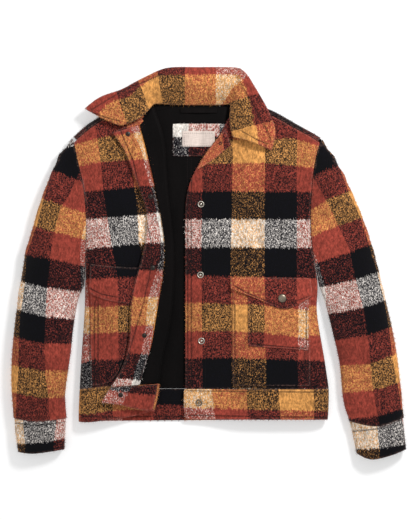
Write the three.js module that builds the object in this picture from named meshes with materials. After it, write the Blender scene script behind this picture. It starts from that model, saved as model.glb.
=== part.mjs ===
// Checked wool jacket laid flat on its back, its right front turned back on itself.
// Millimetres. X runs across, Y from the hem to the collar, Z up from the surface it lies on.
// Right and left are the wearer's, so the right front is at negative X.
import * as THREE from "three";

// Thickness of each cloth
const WOOL = 3;
const COLLAR_CLOTH = 4.2;
const FACING_CLOTH = 2.4;
const FLAP_CLOTH = 2.2;
const POCKET_CLOTH = 1.6;
const LINING_CLOTH = 1.2;
const PATCH_CLOTH = 1.4;
const LABEL_CLOTH = 0.7;

// Gaps and heights above the surface, each height at the middle of the wall
const SEAM = 0.3; // between pieces that meet at a seam
const LAY = 0.45; // between cloths that lie on each other
const POCKET_LAY = 0.85; // between a front and what is sewn flat on it
const SNAP_SEAT = 0.9; // between a snap and the cloth that rises round it
const SIDE_SEAM = 13;
const BODY_LOFT = 24;
const CENTRE_LOFT = 9.5;
const SLEEVE_LOFT = 35;
const ARMHOLE_LOFT = 23;
const CUFF_LOFT = 28;
const UNDERSIDE = WOOL / 2;

// How far in from an edge the cloth has rounded over to its full height, or down to the flat
const BODY_ROUND = 30;
const SHOULDER_ROUND = 26;
const SLEEVE_ROUND = 34;
const UNDER_ROUND = 17;
const YOKE_WIDTH = 8; // of the shoulder strip, on each side of the shoulder's outline

// The turned front: radius of its fold, and how high its free edge lies over the front
const TURN_RADIUS = 4.3;
const FREE_LIFT = 4.8;
const FREE_LIFT_OVER_FLAP = 8.9;

const POCKET_TOP = 14; // how far a pocket's top lies under its flap's top
const TAU = 2 * Math.PI;

/** Rows of a table as objects, with the columns named in one string. */
function table(columns, rows) {
  const names = columns.split(" ");
  return rows.map((row) => Object.fromEntries(row.map((value, k) => [names[k], value])));
}

// Outlines of the body, from the hem up
const RIGHT_WAIST = table("x y", [[-245, -299], [-244.5, -268], [-243, -237]]);
const RIGHT_SIDE = table("x y", [[-243, -237], [-240, -183], [-236, -126], [-233, -78], [-233, -40]]);
const RIGHT_ARMHOLE = table("x y", [
  [-233, -40], [-232, -2], [-231, 34], [-231, 85], [-234, 140], [-245, 186], [-254, 229.5], [-257, 240],
]);
const LEFT_WAIST = table("x y", [[225, -295], [227, -266], [227, -237]]);
const LEFT_SIDE = table("x y", [[227, -237], [219, -183], [209, -126], [203, -82], [208, -42]]);
const LEFT_ARMHOLE = table("x y", [
  [208, -42], [200, 4], [194, 34], [192, 87], [196, 159], [203, 206], [210, 229], [214, 238],
]);
const RIGHT_SHOULDER = table("x y", [[-257, 240], [-233, 262], [-210, 277], [-168, 300], [-136, 309]]);
const LEFT_SHOULDER = table("x y", [[214, 238], [199, 248], [174, 261], [136, 283], [109, 296], [64, 309]]);

// Front edges: the right front's fold and free edge, and the left front's edge with its roll at the neck
const FOLD = table("x y", [
  [-94, -226], [-87, -173], [-79, -143], [-69, -76], [-66, 26], [-71, 78], [-77, 133], [-81, 188],
  [-84, 235], [-94, 270], [-104, 296],
]);
const FREE_EDGE = table("x y", [
  [-186, -232], [-172, -213], [-159, -185], [-149, -139], [-149, -101], [-144, -49], [-126, 13], [-117, 64],
  [-117, 98], [-136, 152], [-153, 197], [-168, 230], [-183, 247],
]);
const FACING_EDGE = table("x y", [
  [-131, -229], [-122, -200], [-113, -173], [-107, -139], [-96, -68], [-87, -21], [-83, 13], [-90, 78],
  [-105, 152], [-116, 197], [-125, 233], [-133, 262],
]);
const PLACKET = table("x y", [
  [-44, -237], [-44, 0], [-44, 95], [-41, 138], [-29, 171], [-9, 205], [4, 223], [19, 241], [34, 261],
]);
const PLACKET_FOOT = table("x y", [[-44, -295], [-44, -237]]);
const WAIST_FOLD = table("x y", [[-104, -279], [-97, -252], [-94, -227]]);
const WAIST_FREE_EDGE = table("x y", [[-205, -262], [-197, -248], [-187, -233]]);

// Sleeves, from the cuff up: outer edge, inner edge, and the seam to the cuff from outer to inner
const RIGHT_SLEEVE = {
  outer: table("x y", [
    [-369, -292], [-375, -245], [-375, -183], [-369, -114], [-356, -23], [-345, 38], [-326, 98],
    [-305, 159], [-276, 220], [-258.5, 239],
  ]),
  inner: table("x y", [[-268, -292], [-271, -262], [-261, -175], [-255, -114], [-247, -68], [-237, -43]]),
  hem: table("x y", [[-369, -292], [-326, -298], [-268, -292]]),
};
const LEFT_SLEEVE = {
  outer: table("x y", [
    [370, -291], [366, -236], [360, -175], [349, -114], [334, -54], [311, 38], [290, 98],
    [263, 159], [229, 220], [215.5, 237],
  ]),
  inner: table("x y", [[265, -297], [253, -251], [248, -190], [235, -130], [222, -75], [212, -45]]),
  hem: table("x y", [[370, -291], [318, -307], [265, -297]]),
};
const RIGHT_CUFF = {
  outer: table("x y", [[-361, -356], [-366, -322], [-367, -292]]),
  inner: table("x y", [[-272, -351], [-271, -320], [-270, -292]]),
  top: table("x y", [[-367, -292], [-326, -298], [-270, -292]]),
  bottom: table("x y", [[-361, -356], [-334, -359], [-272, -351]]),
};
const LEFT_CUFF = {
  outer: table("x y", [[374, -351], [371, -320], [368, -291]]),
  inner: table("x y", [[280, -358], [273, -326], [267, -297]]),
  top: table("x y", [[368, -291], [318, -307], [267, -297]]),
  bottom: table("x y", [[374, -351], [342, -363], [302, -370], [280, -358]]),
};

// Collar: where each station is sewn on, its crown and its outer edge, from the right end to the left end
const COLLAR = table("baseX baseY baseZ crownX crownY crownZ edgeX edgeY edgeZ", [
  [-166, 260, 27, -198, 273, 34, -234, 293, 28],
  [-132, 274, 23, -165, 293, 33, -205, 315, 28],
  [-114, 290, 20, -140, 309, 31, -166, 328, 25],
  [-105, 302, 15, -121, 325, 28, -139, 343, 21],
  [-94, 304, 8, -103, 334, 25, -112, 357, 17],
  [-70, 302.2, 5.8, -75, 340, 22, -80, 371, 13],
  [-25, 301.5, 5.6, -25, 340, 21, -25, 372, 12],
  [25, 301.6, 5.8, 27, 340, 22, 32, 372, 13],
  [42, 302.5, 9, 54, 338, 27, 64, 368, 18],
  [42, 291, 15, 66, 312, 31, 89, 331, 25],
  [40, 272, 16, 78, 283, 31, 112, 291, 28],
  [42, 255, 16, 84, 254, 31, 127, 248, 29],
  [47, 240, 16, 80, 231, 30, 118, 214, 29],
]);

// Soft folds of the upper cloth, each a low ridge or trough from one point to another
const FOLDS = table("x0 y0 x1 y1 width height", [
  [-345, -95, -275, -60, 16, 3.2],
  [-350, -30, -282, 12, 13, -2.6],
  [-318, 60, -262, 40, 18, 2.4],
  [-360, -205, -290, -190, 14, -2.2],
  [-340, -240, -285, -255, 12, 2],
  [330, -95, 258, -70, 15, 3],
  [322, -20, 250, 20, 14, -2.6],
  [280, 95, 232, 60, 18, 2.4],
  [350, -205, 270, -188, 14, -2.4],
  [345, -258, 282, -268, 12, 2],
  [-205, 100, -160, 20, 22, -1.6],
  [-190, -140, -205, -215, 24, 1.2],
  [60, 120, 100, 30, 24, -1.6],
  [150, 120, 165, 20, 24, 1.6],
  [110, -180, 125, -225, 26, -1.2],
]);

const FLAPS = {
  right: {
    top: table("x y", [[-224, 0], [-180, -5], [-119, -8]]),
    bottom: table("x y", [[-224, -53], [-212, -62], [-167, -74], [-122, -76]]),
  },
  left: {
    top: table("x y", [[42, -26], [118, -26], [193, -27]]),
    bottom: table("x y", [[43, -47], [92, -66], [139, -86], [168, -78], [194, -60]]),
  },
};

// The corner of the left front that is turned out beside the neck
const LAPEL = {
  bottom: table("x y", [[-22, 178], [-17, 180]]),
  top: table("x y", [[32, 257], [37, 241], [42, 224]]),
  left: table("x y", [[-22, 178], [-10, 202], [4, 221], [18, 239], [32, 257]]),
  right: table("x y", [[-17, 180], [10, 198], [26, 211], [42, 224]]),
};

// Lining of the back, as far as it shows, and what is sewn on it as rectangles
const BACK_LINING = {
  bottom: table("x y", [[-118, -236], [-28, -236]]),
  top: table("x y", [[-112, 286], [-70, 298], [36, 299]]),
  left: table("x y", [[-118, -236], [-112, 0], [-112, 286]]),
  right: table("x y", [[-28, -236], [-28, 90], [-10, 170], [30, 230], [36, 299]]),
};
const NECK_PATCH = { left: -68, right: 33, foot: 204, head: 266 };
const LABEL = { left: -50, right: 12, foot: 222, head: 252 };
const HANGER_LOOP = { left: -54, right: 16, foot: 286, head: 295 };
const LOOP_RISE = 2.2; // of the hanger loop's middle over its ends

// Hand pockets and the patch pocket: sides, foot, and how much lower the top's inner end lies
const HAND_POCKET_LEFT = { left: 46, right: 192, foot: -231, slope: 0 };
const PATCH_POCKET = { left: 75, right: 188, foot: -155, slope: 8 };
const HAND_POCKET_RIGHT = { side: -222, foot: -231, head: -20, inner: -191, innerFoot: -226 };

// Snaps on the outside of the left front, and studs on the turned facing
const SNAPS = table("name x y radius", [
  ["snap_1", -14, 113, 6.6], ["snap_2", -15, -21, 6.6],
  ["snap_3", -13, -146, 6.6], ["snap_4", -18, -263, 6.6],
]);
const FLAP_SNAP = { x: 139, y: -65, radius: 8 };
const LAPEL_SNAP = { x: 22, y: 228, radius: 3.2 };
const STUD_RADIUS = 4.6;
const STUDS = table("name x y", [
  ["stud_1", -153, 245], ["stud_2", -110, 127], ["stud_3", -106, -8], ["stud_4", -122, -135],
  ["stud_5", -167, -247],
]);

const { lerp, smoothstep } = THREE.MathUtils;
const DOWN = -1;
const UP = 1;

/** Shares from 0 to 1 in equal steps. */
const even = (count) => Array.from({ length: count + 1 }, (_, k) => k / count);

/** Parameters of a wall's grid lines: close together near each rounded end, even between. */
function spread(count, startRound, endRound) {
  const close = [0, 0.09, 0.38];
  const start = close.map((share) => share * startRound);
  const end = close.map((share) => 1 - share * endRound).reverse();
  const middle = even(count - 1).map((share) => lerp(startRound, 1 - endRound, share));
  return [...(startRound ? start : []), ...middle, ...(endRound ? end : [])];
}

/** A path through tables of points, smooth along each table, walked by its share of the length. */
function path(...tables) {
  const whole = new THREE.CurvePath();
  for (const rows of tables) {
    const points = rows.map(({ x, y }) => new THREE.Vector3(x, y, 0));
    whole.add(new THREE.CatmullRomCurve3(points, false, "centripetal"));
  }
  return whole;
}

const moved = (rows, dx) => rows.map(({ x, y }) => ({ x: x + dx, y }));

/** Rows moved square to their line, by a depth to its left, or to its right if that is negative. */
function beside(rows, depth) {
  return rows.map(({ x, y }, k) => {
    const before = rows[Math.max(k - 1, 0)];
    const after = rows[Math.min(k + 1, rows.length - 1)];
    const length = Math.hypot(after.x - before.x, after.y - before.y);
    const step = depth / length;
    return { x: x - step * (after.y - before.y), y: y + step * (after.x - before.x) };
  });
}
const reversed = (rows) => [...rows].reverse();
const ends = (rows) => [rows[0], rows[rows.length - 1]];

/** The cut of a piece seen from above: a surface between four paths that meet at its corners. */
function cut({ bottom, top, left, right }) {
  const corner = (curve, share) => curve.getPoint(share);
  const [a, b, c, d] = [corner(bottom, 0), corner(bottom, 1), corner(top, 0), corner(top, 1)];
  return (u, v) => {
    const across = bottom.getPoint(u).multiplyScalar(1 - v).addScaledVector(top.getPoint(u), v);
    const along = left.getPoint(v).multiplyScalar(1 - u).addScaledVector(right.getPoint(v), u);
    return across.add(along)
      .addScaledVector(a, -(1 - u) * (1 - v))
      .addScaledVector(b, -u * (1 - v))
      .addScaledVector(c, -(1 - u) * v)
      .addScaledVector(d, -u * v);
  };
}

/** The cut of a piece whose four sides are each one table of points. */
const paths = ({ bottom, top, left, right }) => cut({
  bottom: path(bottom), top: path(top), left: path(left), right: path(right),
});

/** The sides of a rectangle, whose top and foot may fall toward its right by a slope. */
function rectangle({ left, right, foot, head, slope = 0 }) {
  const [a, b, c, d] = [[left, foot], [right, foot - slope], [left, head], [right, head - slope]]
    .map(([x, y]) => ({ x, y }));
  return { bottom: [a, b], top: [c, d], left: [a, c], right: [b, d] };
}

/** Finds how far a point lies from a path, and the nearest point on it. */
function ruler(curve, steps = 90) {
  const points = curve.getSpacedPoints(steps);
  const segments = points.slice(1).map((end, k) => new THREE.Line3(points[k], end));
  const found = new THREE.Vector3();
  return (x, y) => {
    const from = new THREE.Vector3(x, y, 0);
    let best = { distance: Infinity, point: null };
    for (const segment of segments) {
      segment.closestPointToPoint(from, true, found);
      const distance = found.distanceTo(from);
      if (distance < best.distance) best = { distance, point: found.clone() };
    }
    return best;
  };
}

/** Rises from 0 at an edge to 1 at its radius, as a quarter of an ellipse does. */
function rounded(distance, radius) {
  const share = Math.min(distance / radius, 1);
  return Math.sqrt(1 - (1 - share) ** 2);
}

/** Height of the soft folds at a point. */
function folds(x, y) {
  let total = 0;
  const here = new THREE.Vector3(x, y, 0);
  const near = new THREE.Vector3();
  for (const { x0, y0, x1, y1, width, height } of FOLDS) {
    const ridge = new THREE.Line3(new THREE.Vector3(x0, y0, 0), new THREE.Vector3(x1, y1, 0));
    ridge.closestPointToPoint(here, true, near);
    total += height * Math.exp(-((near.distanceTo(here) / width) ** 2));
  }
  return total;
}

/** Upper and lower height of a sleeve at a point seen from above. */
function sleeveForm({ outer, inner }, armhole) {
  const outerRuler = ruler(path(outer));
  const innerRuler = ruler(path(inner));
  const armholeRuler = ruler(path(armhole));
  const edge = (x, y) => Math.min(outerRuler(x, y).distance, innerRuler(x, y).distance);
  return {
    upper(x, y) {
      const away = smoothstep(armholeRuler(x, y).distance, 0, 60);
      const loft = lerp(ARMHOLE_LOFT, SLEEVE_LOFT + folds(x, y), away);
      const towardCuff = smoothstep(-y, 180, 292);
      return lerp(SIDE_SEAM, lerp(loft, CUFF_LOFT, towardCuff), rounded(edge(x, y), SLEEVE_ROUND));
    },
    lower: (x, y) => lerp(SIDE_SEAM, UNDERSIDE, rounded(edge(x, y), UNDER_ROUND)),
  };
}

/** Upper and lower height of one half of the body at a point seen from above. */
function bodyForm({ waist, side, armhole, shoulder, centre, sleeve }) {
  const sideRuler = ruler(path(waist, side), 60);
  const armholeRuler = ruler(path(armhole), 60);
  const shoulderRuler = ruler(path(shoulder), 40);
  const centreRuler = ruler(path(...centre), 60);
  const edge = (x, y, layer) => {
    const seams = [sideRuler(x, y), armholeRuler(x, y)];
    const [bySide, byArmhole] = seams;
    const onSide = bySide.distance < byArmhole.distance;
    const { distance, point } = onSide ? bySide : byArmhole;
    return { distance, height: onSide ? SIDE_SEAM : sleeve[layer](point.x, point.y) };
  };
  return {
    upper(x, y) {
      const { distance, height } = edge(x, y, "upper");
      const away = smoothstep(centreRuler(x, y).distance, 18, 125);
      const loft = lerp(CENTRE_LOFT, BODY_LOFT + folds(x, y), away);
      const fromSide = lerp(height, loft, rounded(distance, BODY_ROUND));
      return lerp(SIDE_SEAM, fromSide, rounded(shoulderRuler(x, y).distance, SHOULDER_ROUND));
    },
    lower(x, y) {
      const { distance, height } = edge(x, y, "lower");
      const fromSide = lerp(height, UNDERSIDE, rounded(distance, UNDER_ROUND));
      const fromShoulder = lerp(SIDE_SEAM, UNDERSIDE, rounded(shoulderRuler(x, y).distance, UNDER_ROUND));
      return Math.max(fromSide, fromShoulder);
    },
  };
}

/** Moves a height function out along its normal. */
function over(height, lift) {
  const step = 2;
  return (x, y) => {
    const slopeX = (height(x + step, y) - height(x - step, y)) / (2 * step);
    const slopeY = (height(x, y + step) - height(x, y - step)) / (2 * step);
    const normal = new THREE.Vector3(-slopeX, -slopeY, 1).normalize();
    const rise = typeof lift === "function" ? lift(x, y) : lift;
    return new THREE.Vector3(x, y, height(x, y)).addScaledVector(normal, rise);
  };
}

/** A closed wall on both sides of a grid of points, with its rims. A ring is closed across. */
function wall(grid, thickness, ring = false) {
  const rows = grid.length;
  const columns = grid[0].length;
  const wrap = (k) => (ring ? (k + columns) % columns : Math.min(Math.max(k, 0), columns - 1));
  const hold = (k) => Math.min(Math.max(k, 0), rows - 1);
  const positions = [];
  for (const side of [0.5, -0.5]) {
    grid.forEach((row, j) => row.forEach((point, i) => {
      const across = row[wrap(i + 1)].clone().sub(row[wrap(i - 1)]);
      const along = grid[hold(j + 1)][i].clone().sub(grid[hold(j - 1)][i]);
      const normal = across.cross(along).normalize();
      positions.push(...point.clone().addScaledVector(normal, side * thickness).toArray());
    }));
  }
  const at = (layer, j, i) => layer * rows * columns + j * columns + wrap(i);
  const index = [];
  const quad = (a, b, c, d) => index.push(a, b, c, a, c, d);
  const lastColumn = ring ? columns : columns - 1;
  for (let j = 0; j < rows - 1; j += 1) {
    for (let i = 0; i < lastColumn; i += 1) {
      quad(at(0, j, i), at(0, j, i + 1), at(0, j + 1, i + 1), at(0, j + 1, i));
      quad(at(1, j, i), at(1, j + 1, i), at(1, j + 1, i + 1), at(1, j, i + 1));
    }
    if (!ring) {
      quad(at(0, j, 0), at(0, j + 1, 0), at(1, j + 1, 0), at(1, j, 0));
      const i = columns - 1;
      quad(at(0, j, i), at(1, j, i), at(1, j + 1, i), at(0, j + 1, i));
    }
  }
  for (let i = 0; i < lastColumn; i += 1) {
    quad(at(0, 0, i), at(1, 0, i), at(1, 0, i + 1), at(0, 0, i + 1));
    const j = rows - 1;
    quad(at(0, j, i), at(0, j, i + 1), at(1, j, i + 1), at(1, j, i));
  }
  const geometry = new THREE.BufferGeometry();
  geometry.setAttribute("position", new THREE.Float32BufferAttribute(positions, 3));
  geometry.setIndex(faceOut(positions, index));
  geometry.computeVertexNormals();
  return geometry;
}

/** Turns a closed mesh's faces outward if its volume counts as negative. */
function faceOut(positions, index) {
  const corner = (k) => new THREE.Vector3().fromArray(positions, 3 * index[k]);
  let volume = 0;
  for (let k = 0; k < index.length; k += 3) volume += corner(k).dot(corner(k + 1).cross(corner(k + 2)));
  if (volume > 0) return index;
  const turned = [];
  for (let k = 0; k < index.length; k += 3) turned.push(index[k], index[k + 2], index[k + 1]);
  return turned;
}

/** A grid of points over a cut, each share of its width and length pulled in by the seam's gap. */
function lay(plan, place, across, along, gap = SEAM / 2) {
  const width = plan(0, 0.5).distanceTo(plan(1, 0.5));
  const length = plan(0.5, 0).distanceTo(plan(0.5, 1));
  const inset = (share, size) => lerp(gap / size, 1 - gap / size, share);
  return along.map((v) => across.map((u) => {
    const { x, y } = plan(inset(u, width), inset(v, length));
    return place(x, y);
  }));
}

const placed = (height) => (x, y) => new THREE.Vector3(x, y, height(x, y));

// Finishes, one for each kind of cloth or metal
const FINISHES = {
  wool: { color: "#8a4433", roughness: 0.95, metalness: 0 },
  lining: { color: "#17171a", roughness: 0.6, metalness: 0 },
  label: { color: "#e8e2d6", roughness: 0.8, metalness: 0 },
  nickel: { color: "#a9a59b", roughness: 0.35, metalness: 1 },
  gunmetal: { color: "#3a393b", roughness: 0.4, metalness: 1 },
};

const jacket = new THREE.Group();

function add(name, geometry, finish) {
  const mesh = new THREE.Mesh(geometry, new THREE.MeshStandardMaterial(FINISHES[finish]));
  mesh.name = name;
  jacket.add(mesh);
  return mesh;
}

const rightSleeve = sleeveForm(RIGHT_SLEEVE, RIGHT_ARMHOLE);
const leftSleeve = sleeveForm(LEFT_SLEEVE, LEFT_ARMHOLE);
const rightBody = bodyForm({
  waist: RIGHT_WAIST, side: RIGHT_SIDE, armhole: RIGHT_ARMHOLE, shoulder: RIGHT_SHOULDER,
  centre: [WAIST_FOLD, FOLD], sleeve: rightSleeve,
});
const leftBody = bodyForm({
  waist: LEFT_WAIST, side: LEFT_SIDE, armhole: LEFT_ARMHOLE, shoulder: LEFT_SHOULDER,
  centre: [PLACKET_FOOT, PLACKET], sleeve: leftSleeve,
});

/** Height of the back anywhere: flat, and rounding up to the nearer side. */
const backHeight = (x, y) => (x < 0 ? rightBody : leftBody).lower(x, y);

/** Sides of the body's panels from the waist seam to the shoulder strip. */
const rightEdge = path(RIGHT_SIDE, RIGHT_ARMHOLE.slice(0, -1));
const leftEdge = path(LEFT_SIDE, LEFT_ARMHOLE.slice(0, -1));

/** The seam beside each shoulder strip, from the armhole to the neck. */
const seamDepth = YOKE_WIDTH + WOOL / 2 + SEAM;
const rightShoulderSeam = (depth = seamDepth) => [
  RIGHT_ARMHOLE[RIGHT_ARMHOLE.length - 2], ...beside(RIGHT_SHOULDER, -depth).slice(1),
];
const leftShoulderSeam = (depth = seamDepth) => [
  LEFT_ARMHOLE[LEFT_ARMHOLE.length - 2], ...beside(LEFT_SHOULDER, depth).slice(1),
];

function buildBack() {
  const neck = table("x y", [[-95, 303], [-25, 302], [44, 302]]);
  const plan = cut({
    bottom: path([RIGHT_SIDE[0], LEFT_SIDE[0]]),
    top: path([...rightShoulderSeam(seamDepth + 1), ...neck, ...reversed(leftShoulderSeam(seamDepth + 1))]),
    left: rightEdge, right: leftEdge,
  });
  const across = spread(9, 0.045, 0.045);
  add("back", wall(lay(plan, placed(backHeight), across, even(16), SEAM), WOOL), "wool");
  const band = cut({
    bottom: path([RIGHT_WAIST[0], LEFT_WAIST[0]]), top: path([RIGHT_SIDE[0], LEFT_SIDE[0]]),
    left: path(RIGHT_WAIST), right: path(LEFT_WAIST),
  });
  add("waistband_back", wall(lay(band, placed(backHeight), across, even(3), SEAM), WOOL), "wool");
}

/** A strip that wraps the shoulder's outline, from under it to the seam on the front. */
function buildYoke(name, shoulder, form, inward) {
  const outline = path(shoulder);
  const stations = [
    [DOWN, YOKE_WIDTH - LAY], [DOWN, 4], [DOWN, 1.2], [DOWN, 0],
    [UP, 1.2], [UP, 3.8], [UP, YOKE_WIDTH - LAY],
  ];
  const grid = even(10).map((share) => {
    const along = lerp(0.012, 0.995, share);
    const point = outline.getPoint(along);
    const tangent = outline.getPoint(Math.min(along + 0.01, 1)).sub(outline.getPoint(along - 0.01));
    const normal = new THREE.Vector3(-tangent.y, tangent.x, 0).normalize().multiplyScalar(inward);
    return stations.map(([side, depth]) => {
      const { x, y } = point.clone().addScaledVector(normal, depth + WOOL / 2);
      return new THREE.Vector3(x, y, side === UP ? form.upper(x, y) : form.lower(x, y));
    });
  });
  add(name, wall(grid, WOOL), "wool");
}

const foldRuler = ruler(path(WAIST_FOLD, FOLD));
const freeRuler = ruler(path(WAIST_FREE_EDGE, FREE_EDGE));

/** Height of the turned layer, which lies over the front between its fold and its free edge. */
function turnedHeight(x, y) {
  const fromFold = foldRuler(x, y).distance;
  const share = fromFold / (fromFold + freeRuler(x, y).distance);
  const free = lerp(FREE_LIFT_OVER_FLAP, FREE_LIFT, smoothstep(y, 8, 70));
  return rightBody.upper(x, y) + lerp(2 * TURN_RADIUS, free, share);
}

/** A grid that runs from the side to the fold, round it, and back to the free edge. */
function turnedGrid(lower, upper, across, along) {
  const under = lay(lower, placed(rightBody.upper), across, along);
  const turned = lay(upper, placed(turnedHeight), even(5).reverse(), along);
  const bends = [-60, -30, 0, 30, 60].map(THREE.MathUtils.degToRad);
  return under.map((row, j) => {
    const start = row[row.length - 1];
    const arc = bends.map((angle) => start.clone().add(new THREE.Vector3(
      TURN_RADIUS * Math.cos(angle), 0, TURN_RADIUS * (1 + Math.sin(angle)),
    )));
    return [...row, ...arc, ...turned[j]];
  });
}

function buildRightFront() {
  const inFold = moved(FOLD, -TURN_RADIUS);
  const shoulderSeam = [...rightShoulderSeam(), ends(inFold)[1]];
  const waistSeam = [RIGHT_SIDE[0], { x: -190, y: -231 }, inFold[0]];
  const lower = cut({
    bottom: path(waistSeam), top: path(shoulderSeam), left: rightEdge, right: path(inFold),
  });
  const neck = [...table("x y", [[-183, 247], [-165, 256], [-133, 269], [-117, 282]]), ends(inFold)[1]];
  const upper = cut({
    bottom: path([FREE_EDGE[0], inFold[0]]), top: path(neck), left: path(FREE_EDGE), right: path(inFold),
  });
  const along = even(18);
  add("right_front", wall(turnedGrid(lower, upper, spread(6, 0.17, 0), along), WOOL), "wool");

  const waistInFold = moved(WAIST_FOLD, -TURN_RADIUS);
  const hem = [...table("x y", [[-245, -299], [-225, -300], [-183, -294], [-140, -289]]), waistInFold[0]];
  const bandLower = cut({
    bottom: path(hem), top: path([RIGHT_SIDE[0], { x: -190, y: -231 }, waistInFold[2]]),
    left: path(RIGHT_WAIST), right: path(waistInFold),
  });
  const turnedHem = [...table("x y", [[-205, -262], [-164, -268], [-135, -277]]), waistInFold[0]];
  const bandUpper = cut({
    bottom: path(turnedHem), top: path([WAIST_FREE_EDGE[2], waistInFold[2]]),
    left: path(WAIST_FREE_EDGE), right: path(waistInFold),
  });
  const band = turnedGrid(bandLower, bandUpper, spread(6, 0.17, 0), even(4));
  add("waistband_right", wall(band, WOOL), "wool");
}

function buildFacing() {
  const facingLift = WOOL / 2 + LAY + FACING_CLOTH / 2;
  const liningLift = WOOL / 2 + LAY + LINING_CLOTH / 2;
  const free = moved(FREE_EDGE, 1.5);
  const facing = cut({
    bottom: path([free[0], FACING_EDGE[0]]), top: path([free[free.length - 1], ends(FACING_EDGE)[1]]),
    left: path(free), right: path(FACING_EDGE),
  });
  const along = even(16);
  const facingGrid = lay(facing, over(turnedHeight, facingLift), even(4), along);
  add("front_facing", wall(facingGrid, FACING_CLOTH), "wool");

  const liningEdge = moved(FACING_EDGE, 1.5);
  const inFold = moved(FOLD, -1.5);
  const lining = cut({
    bottom: path([liningEdge[0], inFold[0]]),
    top: path([ends(liningEdge)[1], { x: -119, y: 275 }, ends(inFold)[1]]),
    left: path(liningEdge), right: path(inFold),
  });
  const liningGrid = lay(lining, over(turnedHeight, liningLift), even(3), along, 0.8);
  add("front_lining", wall(liningGrid, LINING_CLOTH), "lining");

  const bandFree = moved(WAIST_FREE_EDGE, 1.5);
  const bandFold = moved(WAIST_FOLD, -2);
  const band = cut({
    bottom: path([bandFree[0], ...table("x y", [[-164, -267], [-135, -276]]), bandFold[0]]),
    top: path([bandFree[2], bandFold[2]]), left: path(bandFree), right: path(bandFold),
  });
  const bandGrid = lay(band, over(turnedHeight, facingLift), even(5), even(3), 0.8);
  add("waistband_facing", wall(bandGrid, FACING_CLOTH), "wool");
}

function buildLeftFront() {
  const shoulderSeam = reversed(leftShoulderSeam());
  const neckEdge = [ends(PLACKET)[1], ...table("x y", [[36, 275], [43, 289]]), shoulderSeam[0]];
  const plan = cut({
    bottom: path([PLACKET[0], LEFT_SIDE[0]]), top: path(shoulderSeam),
    left: path(PLACKET, neckEdge), right: leftEdge,
  });
  const front = lay(plan, placed(leftBody.upper), spread(11, 0, 0.12), even(18));
  add("left_front", wall(front, WOOL), "wool");

  const tab = table("x y", [[-40, -294.5], [-45.5, -291], [-47, -284], [-47, -237]]);
  const band = cut({
    bottom: path([tab[0], LEFT_WAIST[0]]), top: path([tab[3], LEFT_SIDE[0]]),
    left: path(tab), right: path(LEFT_WAIST),
  });
  const bandGrid = lay(band, placed(leftBody.upper), spread(8, 0, 0.12), [0, 0.06, 0.2, 0.6, 1], SEAM);
  add("waistband_left", wall(bandGrid, WOOL), "wool");

  const lapelLift = WOOL / 2 + LAY + WOOL / 2;
  const lapel = lay(paths(LAPEL), over(leftBody.upper, lapelLift), even(4), even(7));
  add("lapel", wall(lapel, WOOL), "wool");
}

/** A closed tube between an upper and a lower height over one cut. */
function tube(name, plan, form, count) {
  const across = spread(5, 0.26, 0.26);
  const ringSteps = [
    ...across.map((share) => [share, "upper"]),
    ...across.slice(1, -1).reverse().map((share) => [share, "lower"]),
  ];
  const length = plan(0.5, 0).distanceTo(plan(0.5, 1));
  const gap = SEAM / length;
  const grid = even(count).map((v) => ringSteps.map(([u, layer]) => {
    const width = plan(0, v).distanceTo(plan(1, v));
    const { x, y } = plan(lerp(WOOL / 2 / width, 1 - WOOL / 2 / width, u), lerp(gap, 1 - gap, v));
    return new THREE.Vector3(x, y, form[layer](x, y));
  }));
  add(name, wall(grid, WOOL, true), "wool");
}

function buildSleeve(suffix, sleeve, cuff, armhole, form, outward) {
  const seam = [
    ends(sleeve.outer)[1], ...reversed(moved(armhole, outward * 0.9)).slice(1, -1), ends(sleeve.inner)[1],
  ];
  tube(`sleeve_${suffix}`, cut({
    bottom: path(sleeve.hem), top: path(seam), left: path(sleeve.outer), right: path(sleeve.inner),
  }), form, 14);
  const edges = [ruler(path(cuff.outer)), ruler(path(cuff.inner))];
  const fromEdge = (x, y) => Math.min(...edges.map((edge) => edge(x, y).distance));
  tube(`cuff_${suffix}`, cut({
    bottom: path(cuff.bottom), top: path(cuff.top), left: path(cuff.outer), right: path(cuff.inner),
  }), {
    upper: (x, y) => lerp(SIDE_SEAM, CUFF_LOFT, rounded(fromEdge(x, y), SLEEVE_ROUND)),
    lower: (x, y) => lerp(SIDE_SEAM, UNDERSIDE, rounded(fromEdge(x, y), UNDER_ROUND)),
  }, 4);
}

function buildCollar() {
  const line = (kind) => new THREE.CatmullRomCurve3(
    COLLAR.map((row) => new THREE.Vector3(row[`${kind}X`], row[`${kind}Y`], row[`${kind}Z`])),
    false, "centripetal",
  );
  const [base, crown, edge] = ["base", "crown", "edge"].map(line);
  const grid = even(30).map((v) => {
    const arch = new THREE.CatmullRomCurve3([base, crown, edge].map((curve) => curve.getPoint(v)));
    return even(5).map((u) => arch.getPoint(u));
  });
  add("collar", wall(grid, COLLAR_CLOTH), "wool");
}

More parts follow.
